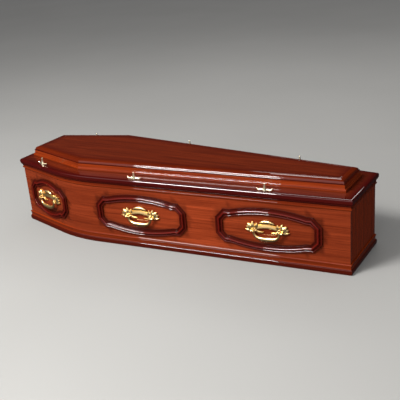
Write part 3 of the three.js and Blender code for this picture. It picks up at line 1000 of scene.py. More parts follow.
@dataclass
class BodyBoards:
    """The side boards bent round the shoulders, the end boards between them, and the bottom board."""

    plan: Plan
    frames: PanelFrames
    low: float
    top: float
    board: float = 18.0
    arris: float = 0.8
    step: float = 14.0
    rows: int = 26
    gap: float = 0.3
    # Painted light and shade: the side is painted lightest about this far from the head corner, where the lamp
    # falls most, and painted darker over this distance from there
    painted_light_at: float = 1160.0
    painted_light_reach: float = 290.0
    painted_end_shade: float = 0.28
    frame_spray_and_shade: float = 0.4
    inner_shade: float = 0.3
    sharp_angle: float = 40.0

    def side_profile(self) -> list[Pair]:
        """The side board's section: its outer face in rows, rounded arrises and a plain inner face.

        Returns:
            Points as out from the face and up.
        """
        heights = np.linspace(self.low + self.arris, self.top - self.arris, self.rows)
        outer = [(0.0, float(z)) for z in heights]
        return [
            (-self.board, self.low), (-self.arris, self.low), *outer, (-self.arris, self.top),
            (-self.board, self.top),
        ]

    def shade_at(self, along: float, height: float) -> float:
        """The spray and painted shade on the side's face: darker close to the panel frames and towards both
        ends.

        Args:
            along: the distance from the head corner.
            height: above the floor.

        Returns:
            The spray and painted shade from 0 to 1.
        """
        near = math.inf
        for place in Place:
            reach = self.frames.half_lengths[place] + 3 * self.frames.spray_and_shade_reach
            if abs(along - self.frames.middle(place)) < reach:
                near = min(near, self.frames.distance(place, along, height))
        # Painted shade towards both ends, away from where the lamp falls most
        ends = self.painted_end_shade * (1 - math.exp(-((along - self.painted_light_at) / self.painted_light_reach) ** 2))
        # Darker close to the frames: partly edge spray, partly painted shade beside the raised mouldings
        return ends + self.frame_spray_and_shade * max(0.0, 1 - near / self.frames.spray_and_shade_reach)

    def build_sides(self) -> None:
        """Makes both side boards, with the grain running along them and the edge spray and painted shade on
        their faces.
        """
        profile = self.side_profile()
        right = sweep(self.plan.square_side(self.step), profile, [0.0] * len(profile))
        outs = [out for out, _ in profile] * (len(right.points) // len(profile))
        right.grain = [
            (along, z, out) for (along, _, _), (_, _, z), out in zip(right.grain, right.points, outs)
        ]
        right.spray = [
            self.shade_at(along, z) if out > -self.arris else self.inner_shade for along, z, out in right.grain
        ]
        for side in Side:
            name = f"side_{side.label}"
            mesh = right.mirrored(side).mesh(name, self.sharp_angle)
            add_piece(f"{name}_board", mesh, SIDE_WOOD, name)

    def end_board(self, place: Place) -> Surface:
        """One end board, from inner face to outer, with its grain upright.

        Args:
            place: the head or the foot.

        Returns:
            The closed surface.
        """
        corner, normal, inward = (
            (self.plan.head, self.plan.head_normal, 1) if place is Place.HEAD
            else (self.plan.foot, self.plan.foot_normal, -1)
        )
        surface = Surface()
        depths = [(self.board, 0.0), (self.arris, 0.0), (0.0, self.arris)]
        for depth, ease in depths:
            x = corner[0] + inward * depth
            inside = corner - normal * (self.board + self.gap)
            y = inside[1] - normal[0] / normal[1] * (x - inside[0])
            for sign_y, z in ((1, self.low), (-1, self.low), (-1, self.top), (1, self.top)):
                height = z + (ease if z == self.low else -ease)
                surface.add_point((x, sign_y * (y + ease), height), (height, sign_y * y, depth), 0.0)
        for level in range(len(depths) - 1):
            surface.join_rings(level * 4, (level + 1) * 4, 4)
        last = (len(depths) - 1) * 4
        surface.faces += [(3, 2, 1, 0), (last, last + 1, last + 2, last + 3)]
        return surface if place is Place.FOOT else surface.moved(lambda p: p, turn=True)

    def build_ends(self) -> None:
        """Makes both end boards."""
        for place in (Place.HEAD, Place.FOOT):
            name = f"{place.value}_end"
            mesh = self.end_board(place).mesh(name, self.sharp_angle)
            add_piece(f"{name}_board", mesh, SHADED_END_WOOD, name)

    def build(self) -> None:
        """Makes the sides and ends, and dresses the bottom board."""
        self.build_sides()
        self.build_ends()
        bottom = FRAME["nodes"]["base_board"]
        bottom.data.materials.clear()
        bottom.data.materials.append(BARE_BOARD.material())
        LOG.info("base_board: dressed as it is")


@dataclass
class BodyMouldings:
    """The base moulding and the small moulding under the lid, each mitred round the body."""

    plan: Plan
    body_top: float
    gap: float = 0.3
    base_height: float = 51.0
    top_height: float = 29.0
    lid_gap: float = 0.4
    ease: float = 0.2
    sharp_angle: float = 30.0
    # Sections as out from the side, and up from the floor or from the moulding's underside
    base_section: tuple[Pair, ...] = (
        (7.2, 0.0), (8.6, 4.0), (9.0, 11.0), (9.0, 18.0), (8.5, 21.0), (7.2, 22.7), (4.6, 23.8), (3.3, 27.0),
        (3.4, 34.0), (4.4, 41.4), (6.0, 44.4), (6.4, 47.4), (5.2, 50.0),
    )
    top_section: tuple[Pair, ...] = (
        (4.2, 0.0), (6.2, 0.8), (6.2, 5.8), (5.6, 6.2), (3.4, 6.6), (3.3, 11.0), (4.6, 16.5), (7.4, 21.5),
        (10.2, 24.5),
    )
    top_reach: float = 10.4
    # The darkening up each section, as the height that it ends at and its strength. On the base it is painted
    # shade, darkest on the torus by the floor
    base_spray: tuple[Pair, ...] = ((25.0, 0.8), (41.0, 0.25), (math.inf, 0.1))
    # Under the lid it is painted shade, which deepens up the cove to the lid's overhang
    top_spray: tuple[Pair, ...] = ((6.0, 0.15), (15.0, 0.35), (math.inf, 0.95))

    def base_profile(self) -> Profile:
        """The base moulding from the floor up: a torus, a shallow cove and a bead.

        Returns:
            The section's line and its painted shade.
        """
        points = [(self.gap, 0.0), *self.base_section, (self.gap, self.base_height)]
        line = spline(points, corners=(1, 7, 10, 13))
        return line, [stepped(up, self.base_spray) for _, up in line]

    def top_profile(self) -> Profile:
        """The moulding under the lid from its bead up: a cove that opens out.

        Returns:
            The section's line and its painted shade.
        """
        low, high = self.body_top - self.top_height, self.body_top - self.lid_gap
        middle = [(out, low + up) for out, up in self.top_section]
        points = [(self.gap, low), *middle, (self.top_reach, high), (self.gap, high)]
        line = spline(points, corners=(1, 2, 3, 4, 5, 9, 10))
        return line, [stepped(up - low, self.top_spray) for _, up in line]

    def eased(self, stations: list[Station]) -> list[Station]:
        """Draws both ends back a little, so that mitred neighbours don't touch.

        Args:
            stations: a length of moulding's stations.

        Returns:
            The shorter length's stations.
        """
        first, second, before, last = stations[0], stations[1], stations[-2], stations[-1]
        start = first.point + unit(second.point - first.point) * self.ease
        end = last.point + unit(before.point - last.point) * self.ease
        return [Station(start, first.out, 0.0), *stations[1:-1], Station(end, last.out, last.along)]

    def build(self) -> None:
        """Makes the eight lengths of moulding."""
        sections = {"base_mould": self.base_profile(), "top_mould": self.top_profile()}
        for label, (profile, spray) in sections.items():
            right = sweep(self.eased(self.plan.mitred_side()), profile, spray)
            lengths = {side.label: right.mirrored(side) for side in Side}
            for place in (Place.HEAD, Place.FOOT):
                lengths[place.value] = sweep(self.eased(self.plan.end(place)), profile, spray)
            for end, surface in lengths.items():
                name = f"{label}_{end}"
                mesh = surface.mesh(name, self.sharp_angle)
                add_piece(f"{name}_length", mesh, MOULDING_WOOD, name)


@dataclass
class Lid:
    """The flat lid board with its rounded edge, and the raised lid's moulding and panel on it."""

    plan: Plan
    low: float
    top: float
    overhang: float = 13.0
    rounding: float = 9.0
    round_steps: int = 8
    edge_spray: float = 58.0
    inset_side: float = 80.0
    inset_head: float = 40.0
    inset_foot: float = 56.0
    panel_inset: float = 38.5
    panel_low: float = 40.3
    panel_top: float = 51.6
    ledge_height: float = 40.0
    ledge_width: float = 7.5
    panel_spray: float = 58.0
    panel_edge_shade: float = 0.62
    arris: float = 1.5
    # How far the flat board's last ring lies in under the raised part
    tucked: float = 30.0
    ease: float = 0.2
    sharp_angle: float = 30.0
    # The raised moulding's section as in from its foot, and up from the board
    raised_section: tuple[Pair, ...] = (
        (1.0, 0.3), (0.0, 3.0), (0.0, 10.5), (1.4, 13.2), (4.6, 14.0), (6.4, 15.6), (7.2, 24.0), (8.4, 32.4),
        (7.4, 33.2), (7.2, 36.2), (10.0, 36.4), (11.8, 38.4), (12.6, 41.0), (14.0, 43.6), (18.5, 47.8),
        (27.0, 50.9),
    )
    raised_top: float = 52.0
    # The spray and painted shade: slight on the riser up to its top, and beyond it by how far in it lies, dark
    # on the quirk and ovolo, partly as a sprayed stain and partly as painted shade where they face the dark
    # above
    riser_top: float = 33.0
    riser_spray: float = 0.05
    ovolo_spray: tuple[Pair, ...] = ((11.0, 0.9), (math.inf, 0.6))

    def build_board(self) -> None:
        """Makes the lid board: painted dark along its edge, partly as edge spray and partly as painted shade,
        redder towards the raised part.
        """
        # The rounded edge is painted darkest, as shade along the lid's edge, and the ledge fades from it as
        # spray and painted shade
        levels = [(self.overhang - self.arris, self.low, 0.9), (self.overhang, self.low + self.arris, 1.0)]
        centre = self.top - self.rounding
        for angle in np.linspace(0, math.pi / 2, self.round_steps + 1):
            offset = self.overhang - self.rounding * (1 - math.cos(angle))
            levels.append((offset, centre + self.rounding * math.sin(angle), 1.0))
        for inward in np.linspace(0, self.edge_spray, 8)[1:]:
            shade = (1 - inward / self.edge_spray) ** 1.1
            levels.append((self.overhang - self.rounding - inward, self.top, float(shade)))
        levels.append((self.overhang - self.inset_side - self.tucked, self.top, 0.0))
        mesh = stack(self.plan.outline(), levels).mesh("lid_board", self.sharp_angle)
        add_piece("lid_flat_board", mesh, LID_WOOD_AND_SHADE, "lid_board")

    def raised_outline(self) -> list[Station]:
        """The foot of the raised part: a six-sided ring, anticlockwise from above, from the head's right.

        Returns:
            The ring's six stations.
        """
        edges = [
            (self.plan.head, self.plan.head_normal, self.inset_side),
            (self.plan.foot, self.plan.foot_normal, self.inset_side),
            (self.plan.foot, np.array([1.0, 0.0]), self.inset_foot),
        ]
        flip = np.array([1, -1])
        edges += [(at * flip, normal * flip, inset) for at, normal, inset in (edges[1], edges[0])]
        edges.append((self.plan.head, np.array([-1.0, 0.0]), self.inset_head))
        marks = []
        for i, (at, normal, inset) in enumerate(edges):
            before_at, before_normal, before_inset = edges[i - 1]
            reach = [
                before_at @ before_normal + self.overhang - before_inset, at @ normal + self.overhang - inset,
            ]
            corner = np.linalg.solve(np.array([before_normal, normal]), reach)
            marks.append((corner, mitre(before_normal, normal)))
        return self.plan.measured(marks)

    def raised_profile(self) -> Profile:
        """The raised moulding's section: a bead, a leaning riser, a quirk and a broad ovolo.

        Returns:
            The section's line and its spray and painted shade.
        """
        back, ledge_end = self.panel_inset - 0.3, self.panel_inset + self.ledge_width
        points = [
            *self.raised_section, (back, self.raised_top), (back, self.ledge_height),
            (ledge_end, self.ledge_height), (ledge_end, 0.3),
        ]
        line = spline(points, corners=(4, 7, 9, 12, 16, 17, 18, 19))
        spray = [
            self.riser_spray if up < self.riser_top else stepped(inward, self.ovolo_spray)
            for inward, up in line
        ]
        return [np.array([-inward, self.top + up]) for inward, up in line], spray

    def build_raised(self) -> None:
        """Makes the six lengths of raised moulding."""
        ring = self.raised_outline()
        profile, spray = self.raised_profile()
        for i, name in enumerate(("right_head", "right_foot", "foot", "left_foot", "left_head", "head")):
            first, last = ring[i], ring[(i + 1) % len(ring)]
            along = unit(last.point - first.point)
            stations = self.plan.measured(
                [(first.point + along * self.ease, first.out), (last.point - along * self.ease, last.out)]
            )
            node = f"raised_mould_{name}"
            mesh = sweep(stations, profile, spray).mesh(node, self.sharp_angle)
            add_piece(f"{node}_length", mesh, MOULDING_WOOD, node)

    def build_panel(self) -> None:
        """Makes the flat panel that lies in the raised moulding, shaded dark round its edge."""
        inset, flat = self.panel_inset, self.top + self.panel_top
        levels = [
            (-inset, self.top + self.panel_low, 0.7), (-inset, flat - 1.0, 0.7),
            (-inset - 0.6, flat - 0.2, 0.65), (-inset - self.arris, flat, self.panel_edge_shade),
        ]
        for inward in np.linspace(0, self.panel_spray, 9)[1:]:
            shade = self.panel_edge_shade * (1 - inward / self.panel_spray) ** 1.5
            levels.append((-inset - self.arris - inward, flat, float(shade)))
        mesh = stack(self.raised_outline(), levels).mesh("top_panel", self.sharp_angle)
        add_piece("raised_lid_panel", mesh, LID_WOOD_AND_SHADE, "top_panel")

    def build(self) -> None:
        """Makes the whole lid."""
        self.build_board()
        self.build_raised()
        self.build_panel()


def rod(
    path: Sequence[Sequence[float]], radii: Sequence[float], sides: int = 12, squash: float = 1.0,
    square: float = 1.0,
) -> Surface:
    """A bar along a path, closed at both ends.

    Args:
        path: points along, in towards the wood and up, in the casting's own space.
        radii: the bar's radius at each point.
        sides: how many sides the bar has.
        squash: its depth as a share of its width.
        square: 1 for a round bar, and less for one with flatter faces.

    Returns:
        The closed surface.
    """
    points = [np.asarray(p, float) for p in path]
    surface, count = Surface(), len(points)
    depth_way = np.array([0.0, 1.0, 0.0])
    for i, point in enumerate(points):
        along = unit(points[min(i + 1, count - 1)] - points[max(i - 1, 0)])
        across = unit(np.cross(along, depth_way)) if abs(along[1]) < 0.95 else np.array([1.0, 0.0, 0.0])
        deep = np.cross(across, along)
        for k in range(sides):
            angle = 2 * math.pi * k / sides
            wide = math.copysign(abs(math.cos(angle)) ** square, math.cos(angle))
            thick = math.copysign(abs(math.sin(angle)) ** square, math.sin(angle))
            surface.add_point(point + across * wide * radii[i] + deep * thick * radii[i] * squash)
    for i in range(count - 1):
        surface.join_rings(i * sides, (i + 1) * sides, sides)
    surface.faces.append(tuple(reversed(range(sides))))
    surface.faces.append(tuple((count - 1) * sides + k for k in range(sides)))
    return surface


@dataclass(frozen=True)
class Leaf:
    """A cast leaf: it leaves its root flat, rises, and its pointed tip curls over.

    It lies in the handle's own space, with its root along and up from the pivot line's middle. It points
    at an angle in degrees from the foot end, anticlockwise, and its tip turns further by the curl. The
    rise is how far its back stands proud at its highest.
    """

    along: float
    up: float
    angle: float
    length: float
    width: float
    rise: float
    curl: float
    ribs: int = 1
    steps: int = 16
    rib_steps: int = 8
    # Shares of half the width: the narrowest neck, the waves of the edge, and the underside
    neck: float = 0.12
    wave: float = 0.05
    under: float = 0.96
    # Shares of the rise: at the root, at the very edge, and the grooves' depth
    root_rise: float = 0.35
    edge_rise: float = 0.2
    groove: float = 0.14
    sunk: float = 1.5

    def half_width(self, share: float) -> float:
        """Half the leaf's width at a share of its length."""
        fullness = math.sin(math.pi * min(1.0, 0.16 + 0.85 * share)) ** 0.6
        return self.width / 2 * max(self.neck, fullness) * (1 + self.wave * math.cos(share * 5 * math.pi))

    def height(self, share: float, across: float) -> float:
        """How far the leaf stands proud at a place on it.

        Args:
            share: of its length.
            across: from -1 to 1 over its width.

        Returns:
            The height in millimetres.
        """
        lift = math.sin(math.pi * min(1.0, 0.15 + share * 0.8))
        crown = self.rise * (self.root_rise + (1 - self.root_rise) * lift)
        groove = self.groove * math.cos(math.pi * self.ribs * (across + 1) / 2) ** 6 * (abs(across) < 0.95)
        dome = math.sqrt(max(0.0, 1 - across * across))
        return crown * (dome * (1 - self.edge_rise) + self.edge_rise - groove)

    def surface(self, back: float) -> Surface:
        """Makes the leaf.

        Args:
            back: the depth of the plate's back, where the leaf lies.

        Returns:
            The closed surface.
        """
        surface, across_steps = Surface(), self.rib_steps * self.ribs
        spot = np.array([self.along, self.up], float)
        for i in range(self.steps + 1):
            t = i / self.steps
            way = math.radians(self.angle + self.curl * t**1.6)
            direction = np.array([math.cos(way), math.sin(way)])
            normal = np.array([-direction[1], direction[0]])
            half = self.half_width(t)
            for k in range(across_steps + 1):
                u = 2 * k / across_steps - 1
                x, z = spot + normal * half * u
                surface.add_point((x, back - self.height(t, u), z))
            for k in range(across_steps, -1, -1):
                x, z = spot + normal * half * (2 * k / across_steps - 1) * self.under
                surface.add_point((x, back + self.sunk, z))
            spot = spot + direction * self.length / self.steps
        ring = 2 * (across_steps + 1)
        for i in range(self.steps):
            surface.join_rings(i * ring, (i + 1) * ring, ring)
        surface.faces.append(tuple(reversed(range(ring))))
        surface.faces.append(tuple(self.steps * ring + k for k in range(ring)))
        return surface


def cast(name: str, surface: Surface, voxel: float, back: float | None, soften: int = 2) -> bpy.types.Mesh:
    """Fuses overlapping closed shapes into one casting with softened corners.

    Args:
        name: the mesh's name.
        surface: the shapes, in the piece's own space.
        voxel: how fine the casting is, in millimetres.
        back: the depth of the flat back, which nothing passes, or None.
        soften: how many times corners are eased.

    Returns:
        The casting's mesh in metres, with how far each point stands off the back as an attribute.
    """
    rough = bpy.data.objects.new(f"{name}_rough", surface.mesh(f"{name}_rough", NEVER_SHARP))
    bpy.context.scene.collection.objects.link(rough)
    remesh = rough.modifiers.new("fuse", "REMESH")
    remesh.mode = "VOXEL"
    remesh.voxel_size = voxel * MM
    smooth = rough.modifiers.new("ease", "SMOOTH")
    smooth.factor = 0.5
    smooth.iterations = soften
    depsgraph = bpy.context.evaluated_depsgraph_get()
    mesh = bpy.data.meshes.new_from_object(rough.evaluated_get(depsgraph))
    bpy.data.objects.remove(rough)
    mesh.name = name
    places = np.zeros(len(mesh.vertices) * 3, np.float32)
    mesh.vertices.foreach_get("co", places)
    places = places.reshape(-1, 3)
    if back is not None:
        places[:, 1] = np.minimum(places[:, 1], back * MM)
        mesh.vertices.foreach_set("co", places.ravel())
    relief = mesh.attributes.new(RELIEF, "FLOAT", "POINT")
    depth = back * MM - places[:, 1] if back is not None else np.full(len(places), PROUD * MM)
    relief.data.foreach_set("value", depth.astype(np.float32))
    mesh.shade_smooth()
    return mesh


@dataclass
class Handles:
    """The six handles: a cast back plate with leaf ends and a crest, and a bail that swings in its lugs.

    Their own space has the pivot line's middle at zero, X along the side, -Y out from the wood and Z up.
    """

    pivot_out: float = 17.0
    gap: float = 0.3
    half_span: float = 62.5
    drop: float = 36.0
    arm_radius: float = 5.6
    arm_top: float = 3.2
    grip_radius: float = 10.4
    bail_depth: float = 0.8
    pin_radius: float = 3.0
    pin_length: float = 14.0
    pin_inside: float = 2.0
    lug_inner: float = 69.5
    lug_thickness: float = 8.0
    lug_radius: float = 6.5
    band_half: float = 56.0
    band_middle: float = 26.5
    band_fall: float = 13.0
    band_radius: float = 11.2
    band_taper: float = 2.0
    band_sunk: float = 2.0
    band_depth: float = 0.44
    band_flatness: float = 0.6
    band_tilt: float = 0.36
    crest_half: float = 38.0
    crest_middle: float = 46.5
    crest_fall: float = 8.5
    crest_radius: float = 9.0
    crest_tip: float = 1.0
    crest_proud: float = 6.5
    crest_depth: float = 0.8
    scallop: float = 0.04
    voxel: float = 0.84
    leaves: tuple[Leaf, ...] = (
        Leaf(along=54, up=8, angle=100, length=30, width=22, rise=9.0, curl=-8),
        Leaf(along=66, up=4, angle=82, length=41, width=25, rise=12.0, curl=-10),
        Leaf(along=68, up=4, angle=48, length=41, width=26, rise=13.0, curl=-8, ribs=2),
        Leaf(along=62, up=0, angle=-10, length=47, width=18, rise=10.0, curl=40),
        Leaf(along=66, up=4, angle=212, length=52, width=18, rise=8.0, curl=-62),
        Leaf(along=70, up=6, angle=14, length=36, width=22, rise=11.0, curl=16, ribs=2),
    )
    # The scroll under the leaves: its middle, the radius of its first turn, and its bar
    scroll_along: float = 57.0
    scroll_up: float = 9.0
    scroll_radius: float = 9.0
    scroll_bar: float = 3.4

    @property
    def wood(self) -> float:
        """The depth of the plate's flat back."""
        return self.pivot_out - self.gap

    def band(self) -> Surface:
        """The arched flat band between the leaf ends.

        Returns:
            The band's surface.
        """
        xs = np.linspace(-self.band_half, self.band_half, 29)
        shares = (xs / self.band_half) ** 2
        path = [
            (x, self.wood - self.band_sunk, self.band_middle - s * self.band_fall) for x, s in zip(xs, shares)
        ]
        radii = [self.band_radius - self.band_taper * s for s in shares]
        flat = rod(path, radii, 28, self.band_depth, self.band_flatness)

        def tilted(point: Point) -> Point:
            """Moves a point in or out, so that the band's face leans back towards its top.

            Args:
                point: a point of the upright band.

            Returns:
                The point on the leaning band.
            """
            x, y, z = point
            middle = self.band_middle - (x / self.band_half) ** 2 * self.band_fall
            return x, y + (z - middle) * self.band_tilt, z

        return flat.moved(tilted)

    def crest(self) -> Surface:
        """The lobe that leans out over the band, with shallow scallops along it.

        Returns:
            The lobe's surface.
        """
        xs = np.linspace(-self.crest_half, self.crest_half, 41)
        shares = (xs / self.crest_half) ** 2
        path = [
            (x, self.wood - self.crest_proud, self.crest_middle - s * self.crest_fall)
            for x, s in zip(xs, shares)
        ]
        swell = self.crest_radius - self.crest_tip
        radii = [
            self.crest_tip + swell * (1 - s) ** 0.6 * (1 + self.scallop * math.cos(x * 0.6))
            for x, s in zip(xs, shares)
        ]
        return rod(path, radii, 20, self.crest_depth)

    def leaf_end(self, sign: int) -> Surface:
        """The cluster of leaves at one end of the plate, with the scroll under it.

        Args:
            sign: 1 for the end on the foot side, or -1 for the other.

        Returns:
            The cluster's surface.
        """
        surface = Surface()
        for leaf in self.leaves:
            surface.append(leaf.surface(self.wood))
        turns = np.linspace(0, 1.7 * math.pi, 24)
        scroll = []
        for turn in turns:
            reach, way = self.scroll_radius - 1.1 * turn, turn - 2.4
            scroll.append((
                self.scroll_along + reach * math.cos(way), self.wood - 8.0 - turn,
                self.scroll_up + reach * math.sin(way),
            ))
        surface.append(rod(scroll, [self.scroll_bar - 0.3 * turn for turn in turns], 10))
        return surface if sign > 0 else surface.moved(lambda p: (-p[0], p[1], p[2]), turn=True)

    def lug(self, sign: int) -> Surface:
        """One lug: an arm from the plate out to the bail's pin.

        Args:
            sign: 1 for the foot side, or -1 for the other.

        Returns:
            The lug's surface.
        """
        surface = Surface()
        start, end = sign * self.lug_inner, sign * (self.lug_inner + self.lug_thickness)
        angles = np.linspace(math.pi, 2 * math.pi, 13)
        ring = [(self.lug_radius * math.cos(a), self.lug_radius * math.sin(a)) for a in angles]
        ring += [(self.lug_radius, self.wood), (-self.lug_radius, self.wood)]
        for x in (start, end):
            for z, y in ring:
                surface.add_point((x, y, z))
        surface.join_rings(0, len(ring), len(ring))
        surface.faces.append(tuple(reversed(range(len(ring)))))
        surface.faces.append(tuple(len(ring) + k for k in range(len(ring))))
        return surface if sign < 0 else surface.moved(lambda p: p, turn=True)

    def plate(self) -> bpy.types.Mesh:
        """The back plate as one casting.

        Returns:
            The casting's mesh.
        """
        surface = self.band()
        surface.append(self.crest())
        for sign in (-1, 1):
            surface.append(self.leaf_end(sign))
            surface.append(self.lug(sign))
        return cast("handle_plate", surface, self.voxel, self.wood)

    def bail(self) -> bpy.types.Mesh:
        """The bail: a bar that swells to its grip, with a pin at each end.

        Returns:
            The casting's mesh.
        """
        ends = [(sign * self.half_span, 0.0, self.arm_top) for sign in (-1, 1)]
        path, radii = [ends[0]], [self.arm_radius * 0.8]
        for angle in np.linspace(0, math.pi, 45):
            side, reach = -math.cos(angle), abs(math.cos(angle)) ** 0.7
            along, down = math.copysign(reach, side) * self.half_span, math.sin(angle) ** 0.8 * self.drop
            path.append((along, 0.0, -down))
            radii.append(self.arm_radius + (self.grip_radius - self.arm_radius) * math.sin(angle) ** 3)
        path.append(ends[1])
        radii.append(radii[0])
        surface = rod(path, radii, 24, self.bail_depth)
        for sign in (-1, 1):
            start = self.half_span - self.pin_inside
            pin = [(sign * (start + self.pin_length * t), 0.0, 0.0) for t in (0, 0.5, 1)]
            surface.append(rod(pin, [self.pin_radius] * len(pin), 12))
        return cast("handle_bail", surface, self.voxel, None)

    def build(self) -> None:
        """Makes the plates and bails at the places that the joints give."""
        plate, bail = self.plate(), self.bail()
        for joint in FRAME["joints"]:
            side, place = joint["name"].split("_")[:2]
            axis, pivot = Vector(joint["axis"]), Vector(joint["pos_m"])
            turn = Matrix.Translation(pivot) @ Matrix.Rotation(math.atan2(-axis.y, -axis.x), 4, "Z")
            for label, mesh, body in (("plate", plate, "coffin"), ("bail", bail, joint["child"])):
                node = f"handle_{label}_{side}_{place}"
                copy = mesh.copy()
                copy.name = node
                copy.transform(turn)
                add_piece(f"cast_{node}", copy, HANDLE_BRASS, node, body)


@dataclass
class LidScrews:
    """The ornamental lid screws: two wings with curled ends and a tapering stem with a knob on a boss."""

    plan: Plan
    voxel: float = 0.8
    # The stem's radius by height, the wings' middle line as along and up, and their radius by share of it
    stem: tuple[Pair, ...] = (
        (0.0, 9.6), (3.0, 9.6), (6.0, 8.4), (12.0, 7.0), (18.0, 5.4), (24.0, 4.2), (27.5, 3.2), (29.0, 3.0),
        (31.5, 4.2), (34.2, 4.0), (36.6, 1.2),
    )
    wing: tuple[Pair, ...] = ((4.0, 5.6), (12.0, 6.2), (23.0, 5.0), (31.0, 5.8), (34.6, 9.6), (34.4, 13.4))
    wing_radii: tuple[Pair, ...] = ((0.0, 4.0), (0.3, 4.8), (0.75, 4.2), (1.0, 2.2))
    wing_depth: float = 0.95

    def screw(self) -> bpy.types.Mesh:
        """One screw about its foot, with its wings along X.

        Returns:
            The casting's mesh.
        """
        surface = rod([(0.0, 0.0, z) for z, _ in self.stem], [radius for _, radius in self.stem], 20)
        line = spline(self.wing)
        shares, radii = zip(*self.wing_radii)
        radii = list(np.interp(np.linspace(0, 1, len(line)), shares, radii))
        for sign in (-1, 1):
            surface.append(rod([(sign * x, 0.0, z) for x, z in line], radii, 12, self.wing_depth))
        return cast("lid_screw", surface, self.voxel, None)

    def build(self) -> None:
        """Places the six screws on the lid, turned to run along its sides."""
        screw = self.screw()
        for side in Side:
            for place in Place:
                node = f"lid_screw_{side.label}_{place.value}"
                low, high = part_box(node)
                normal = self.plan.head_normal if place is Place.HEAD else self.plan.foot_normal
                turn = side.value * math.atan2(normal[0], -normal[1])
                foot = Vector(((low.x + high.x) / 2, (low.y + high.y) / 2, low.z))
                copy = screw.copy()
                copy.name = node
                copy.transform(Matrix.Translation(foot) @ Matrix.Rotation(turn, 4, "Z"))
                add_piece(f"cast_{node}", copy, SCREW_BRASS, node)


@dataclass(frozen=True)
class Softbox:
    """A soft light, placed by the way along the coffin's right side, the way out from it, and up.

    Its aim is in metres, and its way from there to the light is in shares of those three ways. Its
    radiance is in watts for each square metre and steradian.
    """

    name: str
    aim: Point
    way: Point
    distance: float
    width: float
    height: float
    radiance: float
    mirrored: bool = True


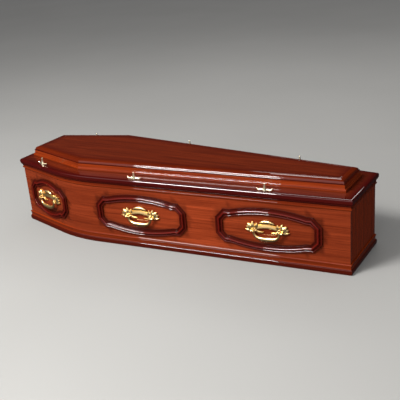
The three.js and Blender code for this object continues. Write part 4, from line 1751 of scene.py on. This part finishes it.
@dataclass
class Studio:
    """The camera, the pale floor and the soft lights."""

    # The camera's place in metres, its angles in degrees and its focal length in pixels, fitted to the
    # coffin's straight edges in the photograph
    camera_place: Point = (1.8625, -2.8206, 1.5133)
    yaw: float = -32.32
    pitch: float = 21.83
    roll: float = -4.93
    focal_pixels: float = 698.55
    sensor: float = 36.0
    # Half the floor's width in metres, and how far it lies under the coffin in millimetres
    floor_half: float = 40.0
    floor_drop: float = 0.5
    # The way along the right side, from the shoulder to the foot
    along: Vector = field(default_factory=lambda: Vector((0.9954, 0.0957, 0.0)))
    softboxes: tuple[Softbox, ...] = (
        Softbox("main_softbox", aim=(0.41485, -0.221075, 0.3), way=(-0.432, 0.58, 0.69), distance=7.0,
                width=2.1, height=1.6, radiance=92.0),
        Softbox("main_spill", aim=(0.166, -0.245, 0.3), way=(-0.432, 0.58, 0.69), distance=5.0,
                width=3.4, height=2.4, radiance=9.6, mirrored=False),
        Softbox("front_fill", aim=(0.25, -0.25, 0.2), way=(0.15, 0.9, 0.4), distance=2.8,
                width=1.4, height=0.9, radiance=12.0, mirrored=False),
        Softbox("rear_softbox", aim=(0.0, 0.2, 0.3), way=(0.0, -1.0, 0.9), distance=5.0,
                width=2.6, height=1.2, radiance=6.0),
    )
    room_colour: str = "#f6f7fa"
    room_light: float = 0.8
    dark_gloss: float = 0.03
    bright_gloss: float = 1.5
    # What gloss sees in front of the right side: it brightens between these shares of the way straight
    # out, and between these heights of a unit vector
    front_range: Pair = (0.25, 0.7)
    glow_range: Pair = (0.08, 0.45)

    def build_camera(self) -> None:
        """Places the camera that the photograph was taken with."""
        yaw, pitch, roll = (math.radians(a) for a in (self.yaw, self.pitch, self.roll))
        ahead = Vector((math.sin(yaw) * math.cos(pitch), math.cos(yaw) * math.cos(pitch), -math.sin(pitch)))
        level = Vector((math.cos(yaw), -math.sin(yaw), 0))
        upright = level.cross(ahead)
        right = math.cos(roll) * level + math.sin(roll) * upright
        up = -math.sin(roll) * level + math.cos(roll) * upright
        data = bpy.data.cameras.new("camera")
        data.sensor_width = self.sensor
        data.lens = self.focal_pixels / PHOTO_SIDE * self.sensor
        camera = bpy.data.objects.new("camera", data)
        turn = Matrix((right, up, -ahead)).transposed().to_4x4()
        camera.matrix_world = Matrix.Translation(self.camera_place) @ turn
        bpy.context.scene.collection.objects.link(camera)
        bpy.context.scene.camera = camera

    def build_floor(self) -> None:
        """Lays the floor."""
        half = self.floor_half
        mesh = bpy.data.meshes.new("floor")
        corners = [(-half, -half, 0), (half, -half, 0), (half, half, 0), (-half, half, 0)]
        mesh.from_pydata(corners, [], [(0, 1, 2, 3)])
        mesh.materials.append(FLOOR_PAINT.material())
        floor = bpy.data.objects.new("floor", mesh)
        floor.location.z = -self.floor_drop * MM
        floor.visible_glossy = False
        bpy.context.scene.collection.objects.link(floor)

    def build_lights(self) -> None:
        """Hangs the softboxes, each with its width along the coffin's right side."""
        out, up = Vector((self.along.y, -self.along.x, 0)), Vector((0, 0, 1))
        for box in self.softboxes:
            data = bpy.data.lights.new(box.name, "AREA")
            data.shape = "RECTANGLE"
            data.size, data.size_y = box.width, box.height
            data.energy = box.radiance * math.pi * box.width * box.height
            back = (box.way[0] * self.along + box.way[1] * out + box.way[2] * up).normalized()
            wide = (self.along - back * self.along.dot(back)).normalized()
            turn = Matrix((wide, back.cross(wide), back)).transposed().to_4x4()
            light = bpy.data.objects.new(box.name, data)
            light.matrix_world = Matrix.Translation(Vector(box.aim) + back * box.distance) @ turn
            light.visible_glossy = box.mirrored
            bpy.context.scene.collection.objects.link(light)

    def build_room(self) -> None:
        """Fills the room with an even pale light, which gloss sees dark but for a glow in front."""
        world = bpy.data.worlds.new("room")
        world.use_nodes = True
        tree = world.node_tree
        tree.nodes.clear()
        way = add_node(tree, "ShaderNodeTexCoord").outputs["Generated"]
        ahead = add_node(tree, "ShaderNodeVectorMath", {0: way, 1: (self.along.y, -self.along.x, 0)},
                         operation="DOT_PRODUCT")
        front = add_node(tree, "ShaderNodeMapRange", {
            "Value": ahead.outputs["Value"], "From Min": self.front_range[0], "From Max": self.front_range[1],
            "To Max": self.bright_gloss,
        })
        height = add_node(tree, "ShaderNodeSeparateXYZ", {0: way}).outputs["Z"]
        glow = add_node(tree, "ShaderNodeMapRange", {
            "Value": height, "From Min": self.glow_range[0], "From Max": self.glow_range[1],
            "To Min": self.dark_gloss, "To Max": front.outputs[0],
        })
        air = linear(self.room_colour)
        even = add_node(tree, "ShaderNodeBackground", {"Color": air, "Strength": self.room_light})
        gloss = add_node(tree, "ShaderNodeBackground", {"Color": air, "Strength": glow.outputs[0]})
        seen = add_node(tree, "ShaderNodeLightPath").outputs["Is Glossy Ray"]
        mixed = add_node(tree, "ShaderNodeMixShader", {0: seen, 1: even.outputs[0], 2: gloss.outputs[0]})
        add_node(tree, "ShaderNodeOutputWorld", {"Surface": mixed.outputs[0]})
        bpy.context.scene.world = world

    def build(self) -> None:
        """Sets up the whole studio."""
        self.build_camera()
        self.build_floor()
        self.build_lights()
        self.build_room()
        bpy.context.scene.view_settings.view_transform = "Standard"


def main() -> None:
    """Builds the coffin round its frame, piece by piece, and the studio round it."""
    logging.basicConfig(level=logging.INFO, format="%(name)s: %(message)s")
    bottom, side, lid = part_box("base_board"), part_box("side_right"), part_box("lid_board")
    plan = Plan(length=(bottom[1].x - bottom[0].x) / MM)
    frames = PanelFrames(plan)
    BodyBoards(plan, frames, low=side[0].z / MM, top=side[1].z / MM).build()
    frames.build()
    BodyMouldings(plan, body_top=side[1].z / MM).build()
    Lid(plan, low=lid[0].z / MM, top=lid[1].z / MM).build()
    Handles().build()
    LidScrews(plan).build()
    Studio().build()


if __name__ == "__main__":
    main()
